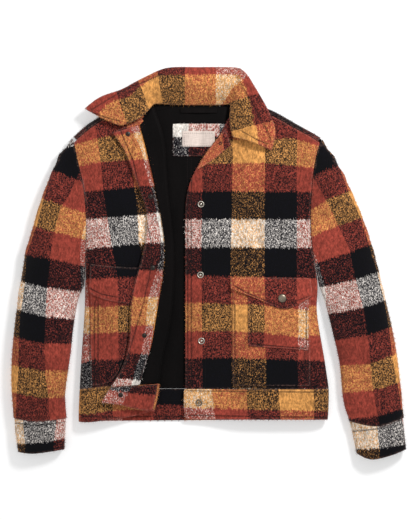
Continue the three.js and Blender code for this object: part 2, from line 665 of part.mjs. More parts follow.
function buildInside() {
  const liningHeight = () => WOOL + LAY + LINING_CLOTH / 2;
  const lining = lay(paths(BACK_LINING), placed(liningHeight), even(4), even(9));
  add("back_lining", wall(lining, LINING_CLOTH), "lining");

  const flat = (name, sides, columns, middle, thickness, finish) => {
    const grid = lay(paths(rectangle(sides)), placed(middle), even(columns), even(2));
    add(name, wall(grid, thickness), finish);
  };
  const liningTop = WOOL + LAY + LINING_CLOTH;
  const patchTop = liningTop + LAY + PATCH_CLOTH;
  flat("neck_patch", NECK_PATCH, 3, () => liningTop + LAY + PATCH_CLOTH / 2, PATCH_CLOTH, "wool");
  flat("label", LABEL, 2, () => patchTop + SEAM + LABEL_CLOTH / 2, LABEL_CLOTH, "label");
  const { left, right } = HANGER_LOOP;
  const rise = (x) => LOOP_RISE * Math.sin(Math.PI * ((x - left) / (right - left))) ** 2;
  const loopHeight = (x) => liningTop + LAY + LINING_CLOTH / 2 + rise(x);
  flat("hanger_loop", HANGER_LOOP, 8, loopHeight, LINING_CLOTH, "lining");
}

/** Shares of a width that come closer together toward its start, where the body rounds over. */
const closing = (count) => even(count).map((share) => share ** 1.5);
const closingAtEnd = (count) => closing(count).map((share) => 1 - share).reverse();

/** Pockets and flaps lie on a front: each is made from the front's points, moved out. */
function buildPockets() {
  const handLift = WOOL / 2 + POCKET_LAY + POCKET_CLOTH / 2;
  const patchLift = handLift + LAY + POCKET_CLOTH;
  const pocket = (name, body, lift, sides, across, rows) => {
    const grid = lay(paths(sides), over(body.upper, lift), across, even(rows));
    add(name, wall(grid, POCKET_CLOTH), "wool");
  };
  const head = FLAPS.left.top[0].y - POCKET_TOP;
  const handLeft = rectangle({ ...HAND_POCKET_LEFT, head });
  pocket("hand_pocket_left", leftBody, handLift, handLeft, closingAtEnd(10), 10);
  pocket("patch_pocket", leftBody, patchLift, rectangle({ ...PATCH_POCKET, head }), closingAtEnd(8), 6);

  const right = HAND_POCKET_RIGHT;
  const underFacing = FREE_EDGE.filter(({ y }) => y < 0).map(({ x, y }) => ({ x: x - 4, y }));
  const innerSide = [{ x: right.inner, y: right.innerFoot }, ...underFacing.slice(1)];
  const [foot, top] = [{ x: right.side, y: right.foot }, { x: right.side, y: right.head }];
  pocket("hand_pocket_right", rightBody, handLift, {
    bottom: [foot, innerSide[0]], top: [top, ends(innerSide)[1]], left: [foot, top], right: innerSide,
  }, closing(6), 10);

  const flap = (name, body, { top, bottom }, highLift, across) => {
    const plan = cut({
      bottom: path(bottom), top: path(top),
      left: path([bottom[0], top[0]]), right: path([ends(bottom)[1], ends(top)[1]]),
    });
    const seamLift = WOOL / 2 + POCKET_LAY + FLAP_CLOTH / 2;
    const lift = (x, y) => lerp(seamLift, highLift, smoothstep(top[0].y - y, 0, POCKET_TOP - 2));
    add(name, wall(lay(plan, over(body.upper, lift), across, even(6)), FLAP_CLOTH), "wool");
  };
  const onHand = handLift + POCKET_CLOTH / 2 + LAY + FLAP_CLOTH / 2;
  const onPatch = patchLift + POCKET_CLOTH / 2 + LAY + FLAP_CLOTH / 2;
  flap("flap_right", rightBody, FLAPS.right, onHand, closing(8));
  flap("flap_left", leftBody, FLAPS.left, onPatch, closingAtEnd(10));
  return { flapTop: onPatch + FLAP_CLOTH / 2 };
}

/** A round snap with a rim, a groove and a button, set square on the cloth. */
function snap(name, x, y, surface, lift, radius, finish) {
  const height = 0.3 * radius;
  const profile = [
    [0, 0], [radius, 0], [radius, 0.5 * height], [0.8 * radius, height],
    [0.5 * radius, 0.4 * height], [0.3 * radius, height], [0, 1.1 * height],
  ];
  const geometry = new THREE.LatheGeometry(profile.map(([r, z]) => new THREE.Vector2(r, z)), 12, 0, TAU);
  geometry.rotateX(Math.PI / 2);
  const mesh = add(name, geometry, finish);
  const point = over(surface, lift)(x, y);
  const outward = over(surface, lift + 1)(x, y).sub(point).normalize();
  mesh.position.copy(point);
  mesh.quaternion.setFromUnitVectors(new THREE.Vector3(0, 0, 1), outward);
}

function buildSnaps({ flapTop }) {
  for (const { name, x, y, radius } of SNAPS) {
    snap(name, x, y, leftBody.upper, WOOL / 2 + SNAP_SEAT, radius, "nickel");
  }
  const onFlap = flapTop + SNAP_SEAT;
  snap("flap_snap", FLAP_SNAP.x, FLAP_SNAP.y, leftBody.upper, onFlap, FLAP_SNAP.radius, "nickel");
  const onLapel = WOOL / 2 + LAY + WOOL + SNAP_SEAT;
  snap("lapel_snap", LAPEL_SNAP.x, LAPEL_SNAP.y, leftBody.upper, onLapel, LAPEL_SNAP.radius, "gunmetal");
  const onFacing = WOOL / 2 + LAY + FACING_CLOTH + SNAP_SEAT;
  for (const { name, x, y } of STUDS) {
    snap(name, x, y, turnedHeight, onFacing, STUD_RADIUS, "gunmetal");
  }
}

buildBack();
buildYoke("yoke_right", RIGHT_SHOULDER, rightBody, -1);
buildYoke("yoke_left", LEFT_SHOULDER, leftBody, 1);
buildRightFront();
buildFacing();
buildLeftFront();
buildSleeve("right", RIGHT_SLEEVE, RIGHT_CUFF, RIGHT_ARMHOLE, rightSleeve, -1);
buildSleeve("left", LEFT_SLEEVE, LEFT_CUFF, LEFT_ARMHOLE, leftSleeve, 1);
buildCollar();
buildInside();
buildSnaps(buildPockets());

// The origin is under the middle of the whole jacket, on the surface that it lies on
const box = new THREE.Box3().setFromObject(jacket);
const middle = box.getCenter(new THREE.Vector3());
jacket.position.set(-middle.x, -middle.y, -box.min.z);
jacket.updateMatrixWorld(true);

export default jacket;
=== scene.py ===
"""The looks of a checked wool jacket, laid flat with its right front turned back.

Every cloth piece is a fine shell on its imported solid, with the check's lines, the seams'
stitching and the nap drawn by its material. Places are photo pixels, millimetres or metres, as
each name says. Right and left are the wearer's: the right front lies on the picture's left.
"""

import logging
import math
from dataclasses import dataclass, field
from enum import Enum

import bmesh
import bpy
import numpy as np
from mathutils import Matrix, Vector, noise
from mathutils.bvhtree import BVHTree
from mathutils.kdtree import KDTree


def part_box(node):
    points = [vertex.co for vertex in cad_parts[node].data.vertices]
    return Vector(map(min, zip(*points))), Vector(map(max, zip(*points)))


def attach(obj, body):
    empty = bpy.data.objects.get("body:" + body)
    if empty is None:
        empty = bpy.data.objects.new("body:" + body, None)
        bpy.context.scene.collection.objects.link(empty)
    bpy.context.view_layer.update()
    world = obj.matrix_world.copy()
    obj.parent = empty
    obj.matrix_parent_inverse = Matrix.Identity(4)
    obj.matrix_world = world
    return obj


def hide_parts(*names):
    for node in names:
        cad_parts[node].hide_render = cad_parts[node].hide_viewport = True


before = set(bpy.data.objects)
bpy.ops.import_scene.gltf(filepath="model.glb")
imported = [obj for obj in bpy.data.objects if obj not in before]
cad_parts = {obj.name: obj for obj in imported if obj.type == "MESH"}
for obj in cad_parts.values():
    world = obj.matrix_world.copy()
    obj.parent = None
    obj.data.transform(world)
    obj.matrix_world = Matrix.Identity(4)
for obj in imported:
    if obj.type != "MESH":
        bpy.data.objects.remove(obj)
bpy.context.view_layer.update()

MM = 0.001
MM_PER_PIXEL = 1.9
ANCHOR_NODE = "snap_1"  # the photo's pixel that this node's middle lies on sets the photo's place
ANCHOR_PIXEL = (201.03, 204.33)
PICTURE = (416, 520)
UP, DOWN = Vector((0, 0, 1)), Vector((0, 0, -1))
OVERHEAD = 0.2  # a height over all of the jacket, in metres
TINY = 1e-6  # what a length is kept above before something is divided by it

Points = tuple[tuple[float, float], ...]
Colour = tuple[float, float, float]

log = logging.getLogger("jacket")


class Yarn(Enum):
    """The four yarns of the check."""

    WHITE = "white"
    RUST = "rust"
    BLACK = "black"
    GOLD = "gold"


WARP = (Yarn.WHITE, Yarn.RUST, Yarn.BLACK, Yarn.GOLD, Yarn.BLACK, Yarn.RUST)
WEFT = (Yarn.WHITE, Yarn.BLACK, Yarn.RUST, Yarn.GOLD, Yarn.RUST, Yarn.BLACK)


class Photo:
    """Turns places in the frame into photo pixels, and back."""

    def __init__(self) -> None:
        """Finds the anchor's place in the frame."""
        low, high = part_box(ANCHOR_NODE)
        self.anchor = (low + high) / 2

    def pixels(self, places: np.ndarray) -> tuple[np.ndarray, np.ndarray]:
        """Gives the pixels that points of the frame lie on.

        Args:
            places: Points in metres, a row each.

        Returns:
            The points' columns and rows in the photo.
        """
        across = ANCHOR_PIXEL[0] + (places[:, 0] - self.anchor.x) / (MM * MM_PER_PIXEL)
        down = ANCHOR_PIXEL[1] - (places[:, 1] - self.anchor.y) / (MM * MM_PER_PIXEL)
        return across, down

    def place(self, pixel: tuple[float, float]) -> Vector:
        """Gives the point of the frame's floor under a pixel.

        Args:
            pixel: Column and row in the photo.

        Returns:
            The point, in metres, at height 0.
        """
        x = self.anchor.x + (pixel[0] - ANCHOR_PIXEL[0]) * MM * MM_PER_PIXEL
        y = self.anchor.y - (pixel[1] - ANCHOR_PIXEL[1]) * MM * MM_PER_PIXEL
        return Vector((x, y, 0.0))


PHOTO = Photo()


@dataclass(frozen=True)
class Line:
    """One line of the check, between two bands.

    Args:
        number: Number of the band that starts at the line, in the yarns' order.
        points: Pixels that it runs through, from the top down, or from left to right. One point
            with its pixel across in both places is a straight line.
    """

    number: float
    points: Points

    def follow(self, at: np.ndarray, along: int) -> np.ndarray:
        """Gives the line's place across, at places along it.

        Args:
            at: Pixels along the line.
            along: Which of a point's two numbers runs along the line.

        Returns:
            Pixels across, with the line's ends drawn out straight.
        """
        run = np.array([point[along] for point in self.points], float)
        across = np.array([point[1 - along] for point in self.points], float)
        found = np.interp(at, run, across)
        if len(run) > 1:
            first = (across[1] - across[0]) / (run[1] - run[0])
            last = (across[-1] - across[-2]) / (run[-1] - run[-2])
            found = np.where(at < run[0], across[0] + first * (at - run[0]), found)
            found = np.where(at > run[-1], across[-1] + last * (at - run[-1]), found)
        return found


def numbered(
    lines: tuple[Line, ...], across: np.ndarray, at: np.ndarray, along: int
) -> np.ndarray:
    """Gives each point its number in the check, a whole number at each line.

    Args:
        lines: Lines in the order of their numbers.
        across: The points' pixels across the lines.
        at: The points' pixels along the lines.
        along: Which of a pixel's two numbers runs along the lines.

    Returns:
        The points' numbers.
    """
    narrowest = 3.0
    places = [line.follow(at, along) for line in lines]
    found = np.zeros_like(across)
    for k in range(len(lines) - 1):
        width = np.maximum(places[k + 1] - places[k], narrowest)
        bands = lines[k + 1].number - lines[k].number
        number = lines[k].number + bands * (across - places[k]) / width
        found = number if k == 0 else np.where(across >= places[k], number, found)
    return found


@dataclass(frozen=True)
class Check:
    """How the check lies on one piece.

    Args:
        columns: Lines between the warp's bands, from left to right.
        rows: Lines between the weft's bands, from the top down.
    """

    columns: tuple[Line, ...]
    rows: tuple[Line, ...]

    def numbers(self, places: np.ndarray) -> np.ndarray:
        """Gives each point its numbers across and down the check.

        Args:
            places: Points in metres, a row each.

        Returns:
            Two numbers for each point.
        """
        x, y = PHOTO.pixels(places)
        return np.stack([numbered(self.columns, x, y, 1), numbered(self.rows, y, x, 0)], axis=1)


def tree_of(spots: list) -> KDTree:
    """Makes a search tree.

    Args:
        spots: Points, each found by its place in the list.

    Returns:
        The tree.
    """
    tree = KDTree(len(spots))
    for k, spot in enumerate(spots):
        tree.insert(spot, k)
    tree.balance()
    return tree


def dense(points: Points) -> np.ndarray:
    """Fills a line of pixels in.

    Args:
        points: The line's pixels.

    Returns:
        Points half a pixel apart along it, a row each.
    """
    filled = [np.array(points[0], float)]
    for start, end in zip(points, points[1:]):
        a, b = np.array(start, float), np.array(end, float)
        count = max(int(np.linalg.norm(b - a) * 2), 1)
        filled += [a + (b - a) * (k + 1) / count for k in range(count)]
    return np.array(filled)


def nearest(line: np.ndarray, pixels: np.ndarray) -> tuple[np.ndarray, np.ndarray]:
    """Finds the nearest point of a dense line to each pixel.

    Args:
        line: Dense points of the line.
        pixels: Pixels to test, a row each.

    Returns:
        The nearest points' indices, and the distances.
    """
    tree = tree_of([(*point, 0.0) for point in line])
    found = [tree.find((*pixel, 0.0)) for pixel in pixels]
    return np.array([k for _, k, _ in found]), np.array([far for _, _, far in found])


def beside(line: np.ndarray, pixels: np.ndarray) -> np.ndarray:
    """Measures how far pixels lie from a dense line.

    Args:
        line: Dense points of the line.
        pixels: Pixels to test, a row each.

    Returns:
        Distances in pixels, negative on the line's left.
    """
    k, far = nearest(line, pixels)
    heading = line[np.minimum(k + 1, len(line) - 1)] - line[np.maximum(k - 1, 0)]
    away = pixels - line[k]
    side = heading[:, 0] * away[:, 1] - heading[:, 1] * away[:, 0]
    return np.where(side > 0, far, -far)


@dataclass(frozen=True)
class BandCheck:
    """How the check lies on a band that bends, such as the collar.

    Args:
        spine: Pixels along the band's middle.
        marks: Band numbers, each with the pixel of the spine where that band starts.
        divide: Pixels of the one line that runs along the band.
        outer: Number of the weft's band outside that line.
        cell: Pixels across one of the weft's bands.
    """

    spine: Points
    marks: tuple[tuple[float, float, float], ...]
    divide: Points
    outer: float
    cell: float = 31.0

    def numbers(self, places: np.ndarray) -> np.ndarray:
        """Gives each point its numbers along the band and across it.

        Args:
            places: Points in metres, a row each.

        Returns:
            Two numbers for each point.
        """
        pixels = np.stack(PHOTO.pixels(places), axis=1)
        spine = dense(self.spine)
        along, _ = nearest(spine, pixels)
        starts, _ = nearest(spine, np.array([mark[1:] for mark in self.marks]))
        order = np.argsort(starts)
        column = np.interp(along, starts[order], np.array([mark[0] for mark in self.marks])[order])
        row = self.outer + 1 + beside(dense(self.divide), pixels) / self.cell
        return np.stack([column, row], axis=1)


def ruled(*rows: tuple) -> tuple[Line, ...]:
    """Makes the lines of a check.

    Args:
        rows: Each line's number and pixels, or its number and one pixel across if it is straight.

    Returns:
        The lines.
    """
    return tuple(
        Line(number, tuple(p if isinstance(p, tuple) else (p, p) for p in points))
        for number, *points in rows
    )


def even_lines(first: int, last: int, start: float, step: float) -> tuple[Line, ...]:
    """Makes evenly spaced straight lines of a check.

    Args:
        first: Number of the first line.
        last: Number of the last line.
        start: Pixel across of line 0.
        step: Pixels from one line to the next.

    Returns:
        The lines.
    """
    return ruled(*((n, start + n * step) for n in range(first, last + 1)))


LEFT_FRONT_CHECK = Check(
    columns=ruled(
        (1, 169.5), (2, (202, 120), (201, 277), (202, 385)),
        (3, (233, 120), (230.5, 277), (232, 385)), (4, (264.5, 120), (264, 277), (265.7, 385)),
        (5, (296, 120), (295.7, 277), (297, 385)), (6, 327),
    ),
    rows=ruled(
        (-4, (190, 117), (320, 111)), (-3, (210, 138), (250, 141), (290, 139), (312, 145)),
        (-2, (190, 164), (264, 163), (300, 167), (312, 168)), (-1, (190, 191), (312, 192)),
        (0, (185, 219), (312, 220)), (1, 247.5), (2, (185, 274.6), (310, 278)),
        (3, (185, 302.3), (230, 304), (320, 306)), (4, (185, 331), (232, 330.5), (310, 334.8)),
        (5, (185, 358), (232, 356.5), (320, 359.8)), (6, 389),
    ),
)
LEFT_FLAP_CHECK = Check(
    columns=LEFT_FRONT_CHECK.columns,
    rows=ruled((2, (185, 274), (310, 276)), (3, 313)),
)
PATCH_CHECK = Check(
    columns=ruled((4, 232), (5, 263.5), (6, 297.7), (7, 329)),
    rows=ruled(
        (2, (248, 276), (308, 281)), (3, (248, 303.4), (298, 309)),
        (4, (248, 331), (263, 332), (298, 336.5)), (5, (248, 359), (308, 365)),
    ),
)
RIGHT_FRONT_CHECK = Check(
    columns=ruled(
        (0, (37, 140), (56, 277), (60, 389)),
        (1, (66, 140), (72, 190), (78, 230), (84, 262), (88, 290), (90, 320), (93.5, 389)),
        (2, (97.5, 140), (101, 162), (103.5, 190), (107.5, 218), (112, 246), (118, 277),
         (119, 385)), (3, (129, 140), (134.5, 187), (138, 215), (139, 243), (149, 277), (150, 385)),
        (4, (160, 140), (166, 187), (170, 243), (180, 277), (181, 385)),
    ),
    rows=ruled(
        (-4, (75, 118), (97, 111), (112, 108)), (-3, (74.5, 146), (97, 139.5), (112, 137)),
        (-2, (78, 167), (102, 162), (127, 160)), (-1, (85, 192), (104, 190), (137, 187)),
        (0, (87, 219.5), (108, 218), (138, 215.5)), (1, (86, 249), (112, 246), (139, 243.5)),
        (2, (86, 279), (140, 276)), (3, (86, 307), (140, 305.5)), (4, (86, 333), (140, 331)),
        (5, (84, 362), (92, 359), (140, 358)), (6, (80, 390), (140, 386)),
    ),
)
FACING_CHECK = Check(
    columns=ruled(
        (5, (90, 134), (128, 250), (100, 378)),
        (6, (133.6, 134), (141, 148), (147, 175), (154, 196), (156.6, 213), (161, 236),
         (160.5, 258), (148, 300), (146.6, 325), (141.8, 354), (136, 368), (133.4, 378)),
        (7, (170, 134), (195, 258), (170, 378)),
    ),
    rows=ruled(
        (-4, (110, 108), (160, 100)), (-3, (113, 137), (141, 132.5)),
        (-2, (125, 160), (150, 159.8)), (-1, 186), (0, (147, 214), (160, 213)), (1, 242.7),
        (2, 270), (3, 297), (4, 324.7), (5, (120, 352.5), (160, 353.5)),
        (6, (111, 377), (134, 379)),
    ),
)
WAIST_FACING_CHECK = Check(
    columns=ruled(
        (0, (103, 378), (90, 404)), (1, (134.6, 378), (130, 390), (121.9, 403.6)),
        (2, (166, 378), (160, 390), (154, 403.6)),
    ),
    rows=ruled(
        (1, (100, 362), (160, 366)), (2, (112, 389.2), (130, 391.6), (158, 394.8)),
        (3, (112, 417), (158, 422)),
    ),
)
RIGHT_WAIST_CHECK = Check(
    columns=ruled((4, 80.6), (5, 111.6), (5.9, 200)),
    rows=ruled(
        (3, (79, 385), (140, 384)), (4, (79.5, 412.9), (89, 413.5), (111.6, 409.3), (140, 409)),
        (5, (79, 440), (140, 437)),
    ),
)
LEFT_WAIST_CHECK = Check(
    columns=ruled(
        (0, (180, 385), (182, 419)), (1, (211, 385), (215, 419)), (2, (246, 385), (247, 419)),
        (3, (278, 385), (280, 419)), (4, (312.5, 385), (313.5, 419)), (5, 344),
    ),
    rows=ruled(
        (3, (184, 381), (326, 383)), (4, (184, 407), (326, 410)), (5, (184, 436), (326, 438)),
    ),
)
BACK_WAIST_CHECK = Check(
    columns=even_lines(-8, 8, 90.6, 31.2),
    rows=ruled((0, 362), (1, 380), (2, 404.5), (3, 432)),
)
BACK_CHECK = Check(
    columns=even_lines(-6, 10, 112.0, 31.2),
    rows=even_lines(-8, 8, 218.0, 27.9),
)
RIGHT_YOKE_CHECK = Check(
    columns=ruled((1, 56), (2, 86), (2.9, 140)),
    rows=ruled((1, 100), (1.9, 160)),
)
LEFT_YOKE_CHECK = Check(
    columns=ruled((4, 240), (5, 302), (5.9, 340)),
    rows=ruled((1, 100), (1.9, 160)),
)
LAPEL_CHECK = Check(
    columns=ruled((3, (180, 130), (195, 170)), (4, (221, 130), (224.5, 152)), (5, 260)),
    rows=ruled((4, 100), (4.9, 170)),
)
NECK_PATCH_CHECK = Check(
    columns=ruled((0, 158), (1, 188.5), (2, 219), (3, 250)),
    rows=ruled((0, 109), (1, 137), (2, 165)),
)
RIGHT_SLEEVE_CHECK = Check(
    columns=ruled(
        (3, (44, 140), (12, 210), (-8, 300), (-11, 370), (-14, 417)),
        (4, (62, 141), (57, 162), (52, 172), (44.6, 199.5), (38, 225.7), (27.4, 254.4), (26, 281),
         (22.3, 308.6), (20.4, 329), (19.6, 366), (17.5, 393), (16.5, 417)),
        (5, (88, 160), (76, 180), (70, 196), (61.2, 206.5), (54.8, 232), (51, 258.8), (48, 287),
         (46.4, 316), (45.2, 344), (46.2, 373), (49, 398), (50.5, 418)),
        (6, (98, 180), (88, 215), (83, 235), (81, 252), (82, 290), (80, 330), (78, 418)),
    ),
    rows=ruled(
        (-6, (56, 122), (74, 124)), (-5, (56, 149), (74, 146)), (-4, (56, 170.8), (79, 181)),
        (-3, (44.6, 199.5), (61.2, 205.3), (84.2, 213)),
        (-2, (37, 226.3), (56, 232), (85.5, 239.7)), (-1, (28, 254.4), (51, 258.8), (84, 265)),
        (0, (24.2, 281.8), (47.2, 287.5), (83, 292)),
        (1, (21.7, 309.8), (44.6, 316.2), (76.5, 318.8)),
        (2, (21.4, 337), (44.6, 342.5), (72.3, 342.8)),
        (3, (19.6, 365.5), (44.6, 370), (68.8, 370)),
        (4, (17.9, 392.3), (44.6, 396.8), (67.9, 395.9)), (5, (17, 421), (67, 426)),
    ),
)
LEFT_SLEEVE_CHECK = Check(
    columns=ruled(
        (0, (240, 160), (289, 250), (295, 300), (303, 400)),
        (1, (285, 180), (300, 210), (309, 245), (317.5, 262), (324, 287), (327, 320), (334, 420)),
        (2, (312, 178), (325.2, 201), (337, 225.8), (348.7, 250.8), (354.5, 280.8), (361.8, 307.2),
         (365.8, 333), (368.8, 360.6), (371.6, 390), (376.6, 415)),
        (3, (322, 143), (337.7, 164.3), (347.2, 191.4), (359.6, 218.5), (367.7, 245),
         (376.5, 272.8), (383, 300.6), (387.5, 327.4), (391, 354), (395.5, 380), (400.6, 407.7)),
        (4, (350, 143), (380, 200), (410, 300), (430, 408)),
    ),
    rows=ruled(
        (-5, (318, 104), (326, 101)), (-4, (313.5, 176), (338.4, 165)),
        (-3, (319, 205), (325, 201), (348.7, 191.4)), (-2, (312, 236), (337, 225.8), (359, 218.5)),
        (-1, (320.8, 261), (348.7, 252), (367.7, 245)),
        (0, (323.7, 286.7), (353, 280), (375, 272.8)),
        (1, (326.7, 313.8), (360.4, 307.2), (382.4, 300.6)),
        (2, (335.5, 339.4), (364.6, 334.5), (388.6, 326.5)),
        (3, (338.8, 365.2), (368.3, 363), (394, 354)),
        (4, (342.5, 392), (371, 389.3), (394.2, 382.8)),
        (5, (347, 417.9), (375.7, 415), (399.7, 407.7)), (6, (347, 446), (400, 436)),
    ),
)
RIGHT_CUFF_CHECK = Check(
    columns=ruled(
        (3, (-8, 420), (-5, 450)), (4, (23.7, 420), (25.9, 443), (26, 452)),
        (5, (57, 420), (54.5, 440.5), (54.5, 450)), (6, (88, 420), (86, 450)),
    ),
    rows=ruled(
        (0, (17, 414), (66, 412)), (1, (18, 442.3), (36, 442), (53.6, 440), (66, 437)),
        (2, (17, 470), (66, 465)),
    ),
)
LEFT_CUFF_CHECK = Check(
    columns=ruled(
        (3, (344, 425), (347, 450)), (4, (375.7, 425), (378, 447.4)),
        (5, (400.6, 418), (405.3, 443)), (6, (432, 418), (436, 443)),
    ),
    rows=ruled(
        (0, (350, 420), (402, 414)), (1, (355, 448), (377.6, 447), (404.3, 442.8)),
        (2, (355, 476), (404, 471)),
    ),
)
COLLAR_CHECK = BandCheck(
    spine=((84, 112), (100, 108), (118, 102), (133, 97), (146, 92), (156, 86), (168, 84), (200, 84),
           (222, 84), (234, 87), (241, 97), (245, 110), (250, 128), (253, 150)),
    marks=((-5, 88, 111), (-4, 121, 106), (-3, 144, 96), (-2, 159.5, 85), (-1, 184.5, 84),
           (0, 216, 84), (1, 236, 85), (2, 241, 99), (3, 249, 128), (4, 255, 156)),
    divide=((90, 125), (98.5, 115.5), (104, 109.7), (108.7, 104.6), (115.7, 102), (129.7, 98.3),
            (137.4, 90.6), (150, 81), (161, 76), (200, 75.5), (232, 75.5), (239.3, 76.5),
            (246.4, 91), (250, 104.6), (254, 126), (257, 131.4), (258, 150)),
    outer=2,
)


@dataclass(frozen=True)
class Crease:
    """One soft ridge or trough of the cloth, placed by hand.

    Args:
        start: Pixel where it starts.
        end: Pixel where it ends.
        width: Half its width, in millimetres.
        height: Its height at the middle, in millimetres, negative for a trough.
    """

    start: tuple[float, float]
    end: tuple[float, float]
    width: float
    height: float

    def lift(self, x: np.ndarray, y: np.ndarray) -> np.ndarray:
        """Gives the crease's height at pixels, in millimetres.

        Args:
            x: The pixels' columns.
            y: The pixels' rows.

        Returns:
            Heights in millimetres.
        """
        ax, ay = self.start
        dx, dy = self.end[0] - ax, self.end[1] - ay
        length = math.hypot(dx, dy)
        along = ((x - ax) * dx + (y - ay) * dy) / length
        share = np.clip(along / length, 0.0, 1.0)
        bow, turn, at_ends, more = 0.06, 1.3, 0.55, 0.45
        bend = bow * length * np.sin(share * math.pi * turn)
        off = ((x - ax) * dy - (y - ay) * dx) / length + bend
        past = np.maximum(np.maximum(-along, along - length), 0.0)
        far = (off * off + past * past) * (MM_PER_PIXEL / self.width) ** 2
        swell = at_ends + more * np.sin(math.pi * share)
        return self.height * swell * np.exp(-far)


@dataclass(frozen=True)
class Drape:
    """The folds that the upper layers share, so that a panel and what lies on it move together.

    Args:
        creases: The folds placed by hand.
        ripple: Height of the cloth's small unevenness, in millimetres.
        strength: Scale of the folds' heights.
        start: Height where the folds begin to act, in metres.
        full: Height above which they act in full, in metres.
    """

    creases: tuple[Crease, ...]
    ripple: float = 0.7
    strength: float = 1.4
    start: float = 0.004
    full: float = 0.011

    def lift(self, places: np.ndarray) -> np.ndarray:
        """Gives how far each point is lifted.

        Args:
            places: Points in metres, a row each.

        Returns:
            Lifts in metres.
        """
        x, y = PHOTO.pixels(places)
        total = self.strength * sum(crease.lift(x, y) for crease in self.creases)
        broad, fine, weight = 9.0, 26.0, 0.5
        spots = [Vector((p[0], p[1], 0.0)) for p in places]
        uneven = np.array([noise.noise(s * broad) + weight * noise.noise(s * fine) for s in spots])
        share = np.clip((places[:, 2] - self.start) / (self.full - self.start), 0.0, 1.0)
        return (total + self.ripple * uneven) * MM * share * share * (3 - 2 * share)


FOLDS = Drape(
    creases=tuple(Crease((x0, y0), (x1, y1), width, height) for x0, y0, x1, y1, width, height in (
        (268, 128, 212, 196, 22, 1.8), (292, 150, 228, 232, 26, -2.0),
        (296, 196, 244, 236, 18, 1.5), (212, 215, 300, 232, 20, -1.2),
        (206, 330, 232, 378, 18, 1.6), (228, 322, 240, 380, 14, -1.5),
        (262, 352, 266, 384, 14, 1.5), (290, 355, 284, 385, 15, -1.6),
        (305, 330, 308, 384, 12, 1.3), (84, 150, 116, 222, 20, 1.6),
        (96, 178, 130, 236, 16, -1.8), (86, 214, 128, 262, 16, 1.3),
        (92, 300, 120, 352, 16, -1.4), (100, 296, 122, 330, 12, 1.2),
        (118, 340, 112, 384, 12, 1.4), (128, 150, 150, 224, 10, -1.0),
        (150, 284, 134, 352, 10, 1.0), (64, 186, 40, 214, 16, 2.2),
        (78, 206, 34, 238, 14, -2.4), (70, 250, 36, 266, 12, 1.6),
        (66, 290, 30, 300, 14, -1.6), (60, 330, 26, 338, 13, 1.5),
        (58, 372, 24, 364, 13, -1.7), (56, 396, 28, 404, 10, 1.3),
        (330, 176, 352, 214, 16, 2.2), (318, 214, 364, 236, 14, -2.4),
        (322, 262, 370, 260, 13, 1.8), (330, 296, 376, 284, 13, -1.7),
        (338, 336, 384, 322, 14, 1.6), (342, 366, 388, 362, 12, -1.7),
        (350, 396, 394, 388, 12, 1.5), (28, 428, 32, 450, 9, 1.0),
        (50, 428, 48, 448, 8, -0.9), (370, 432, 374, 448, 9, 1.0),
        (124, 100, 150, 84, 9, 1.0), (168, 88, 222, 86, 9, -0.8), (240, 96, 250, 130, 8, 0.8),
    )),
)


@dataclass(frozen=True)
class Stitching:
    """A row of machine stitching, or two side by side.

    Args:
        points: Pixels of the line between the rows, or of the one row.
        apart: Millimetres between two rows, or 0 for one row.
    """

    points: Points
    apart: float = 0.0

    def rows(self) -> list[np.ndarray]:
        """Gives the rows of stitching.

        Returns:
            Each row's dense pixels.
        """
        line = dense(self.points)
        heading = np.gradient(line, axis=0)
        heading /= np.maximum(np.linalg.norm(heading, axis=1), TINY)[:, None]
        side = np.stack([heading[:, 1], -heading[:, 0]], axis=1)
        if not self.apart:
            return [line]
        half = self.apart / 2 / MM_PER_PIXEL
        return [line + side * half, line - side * half]


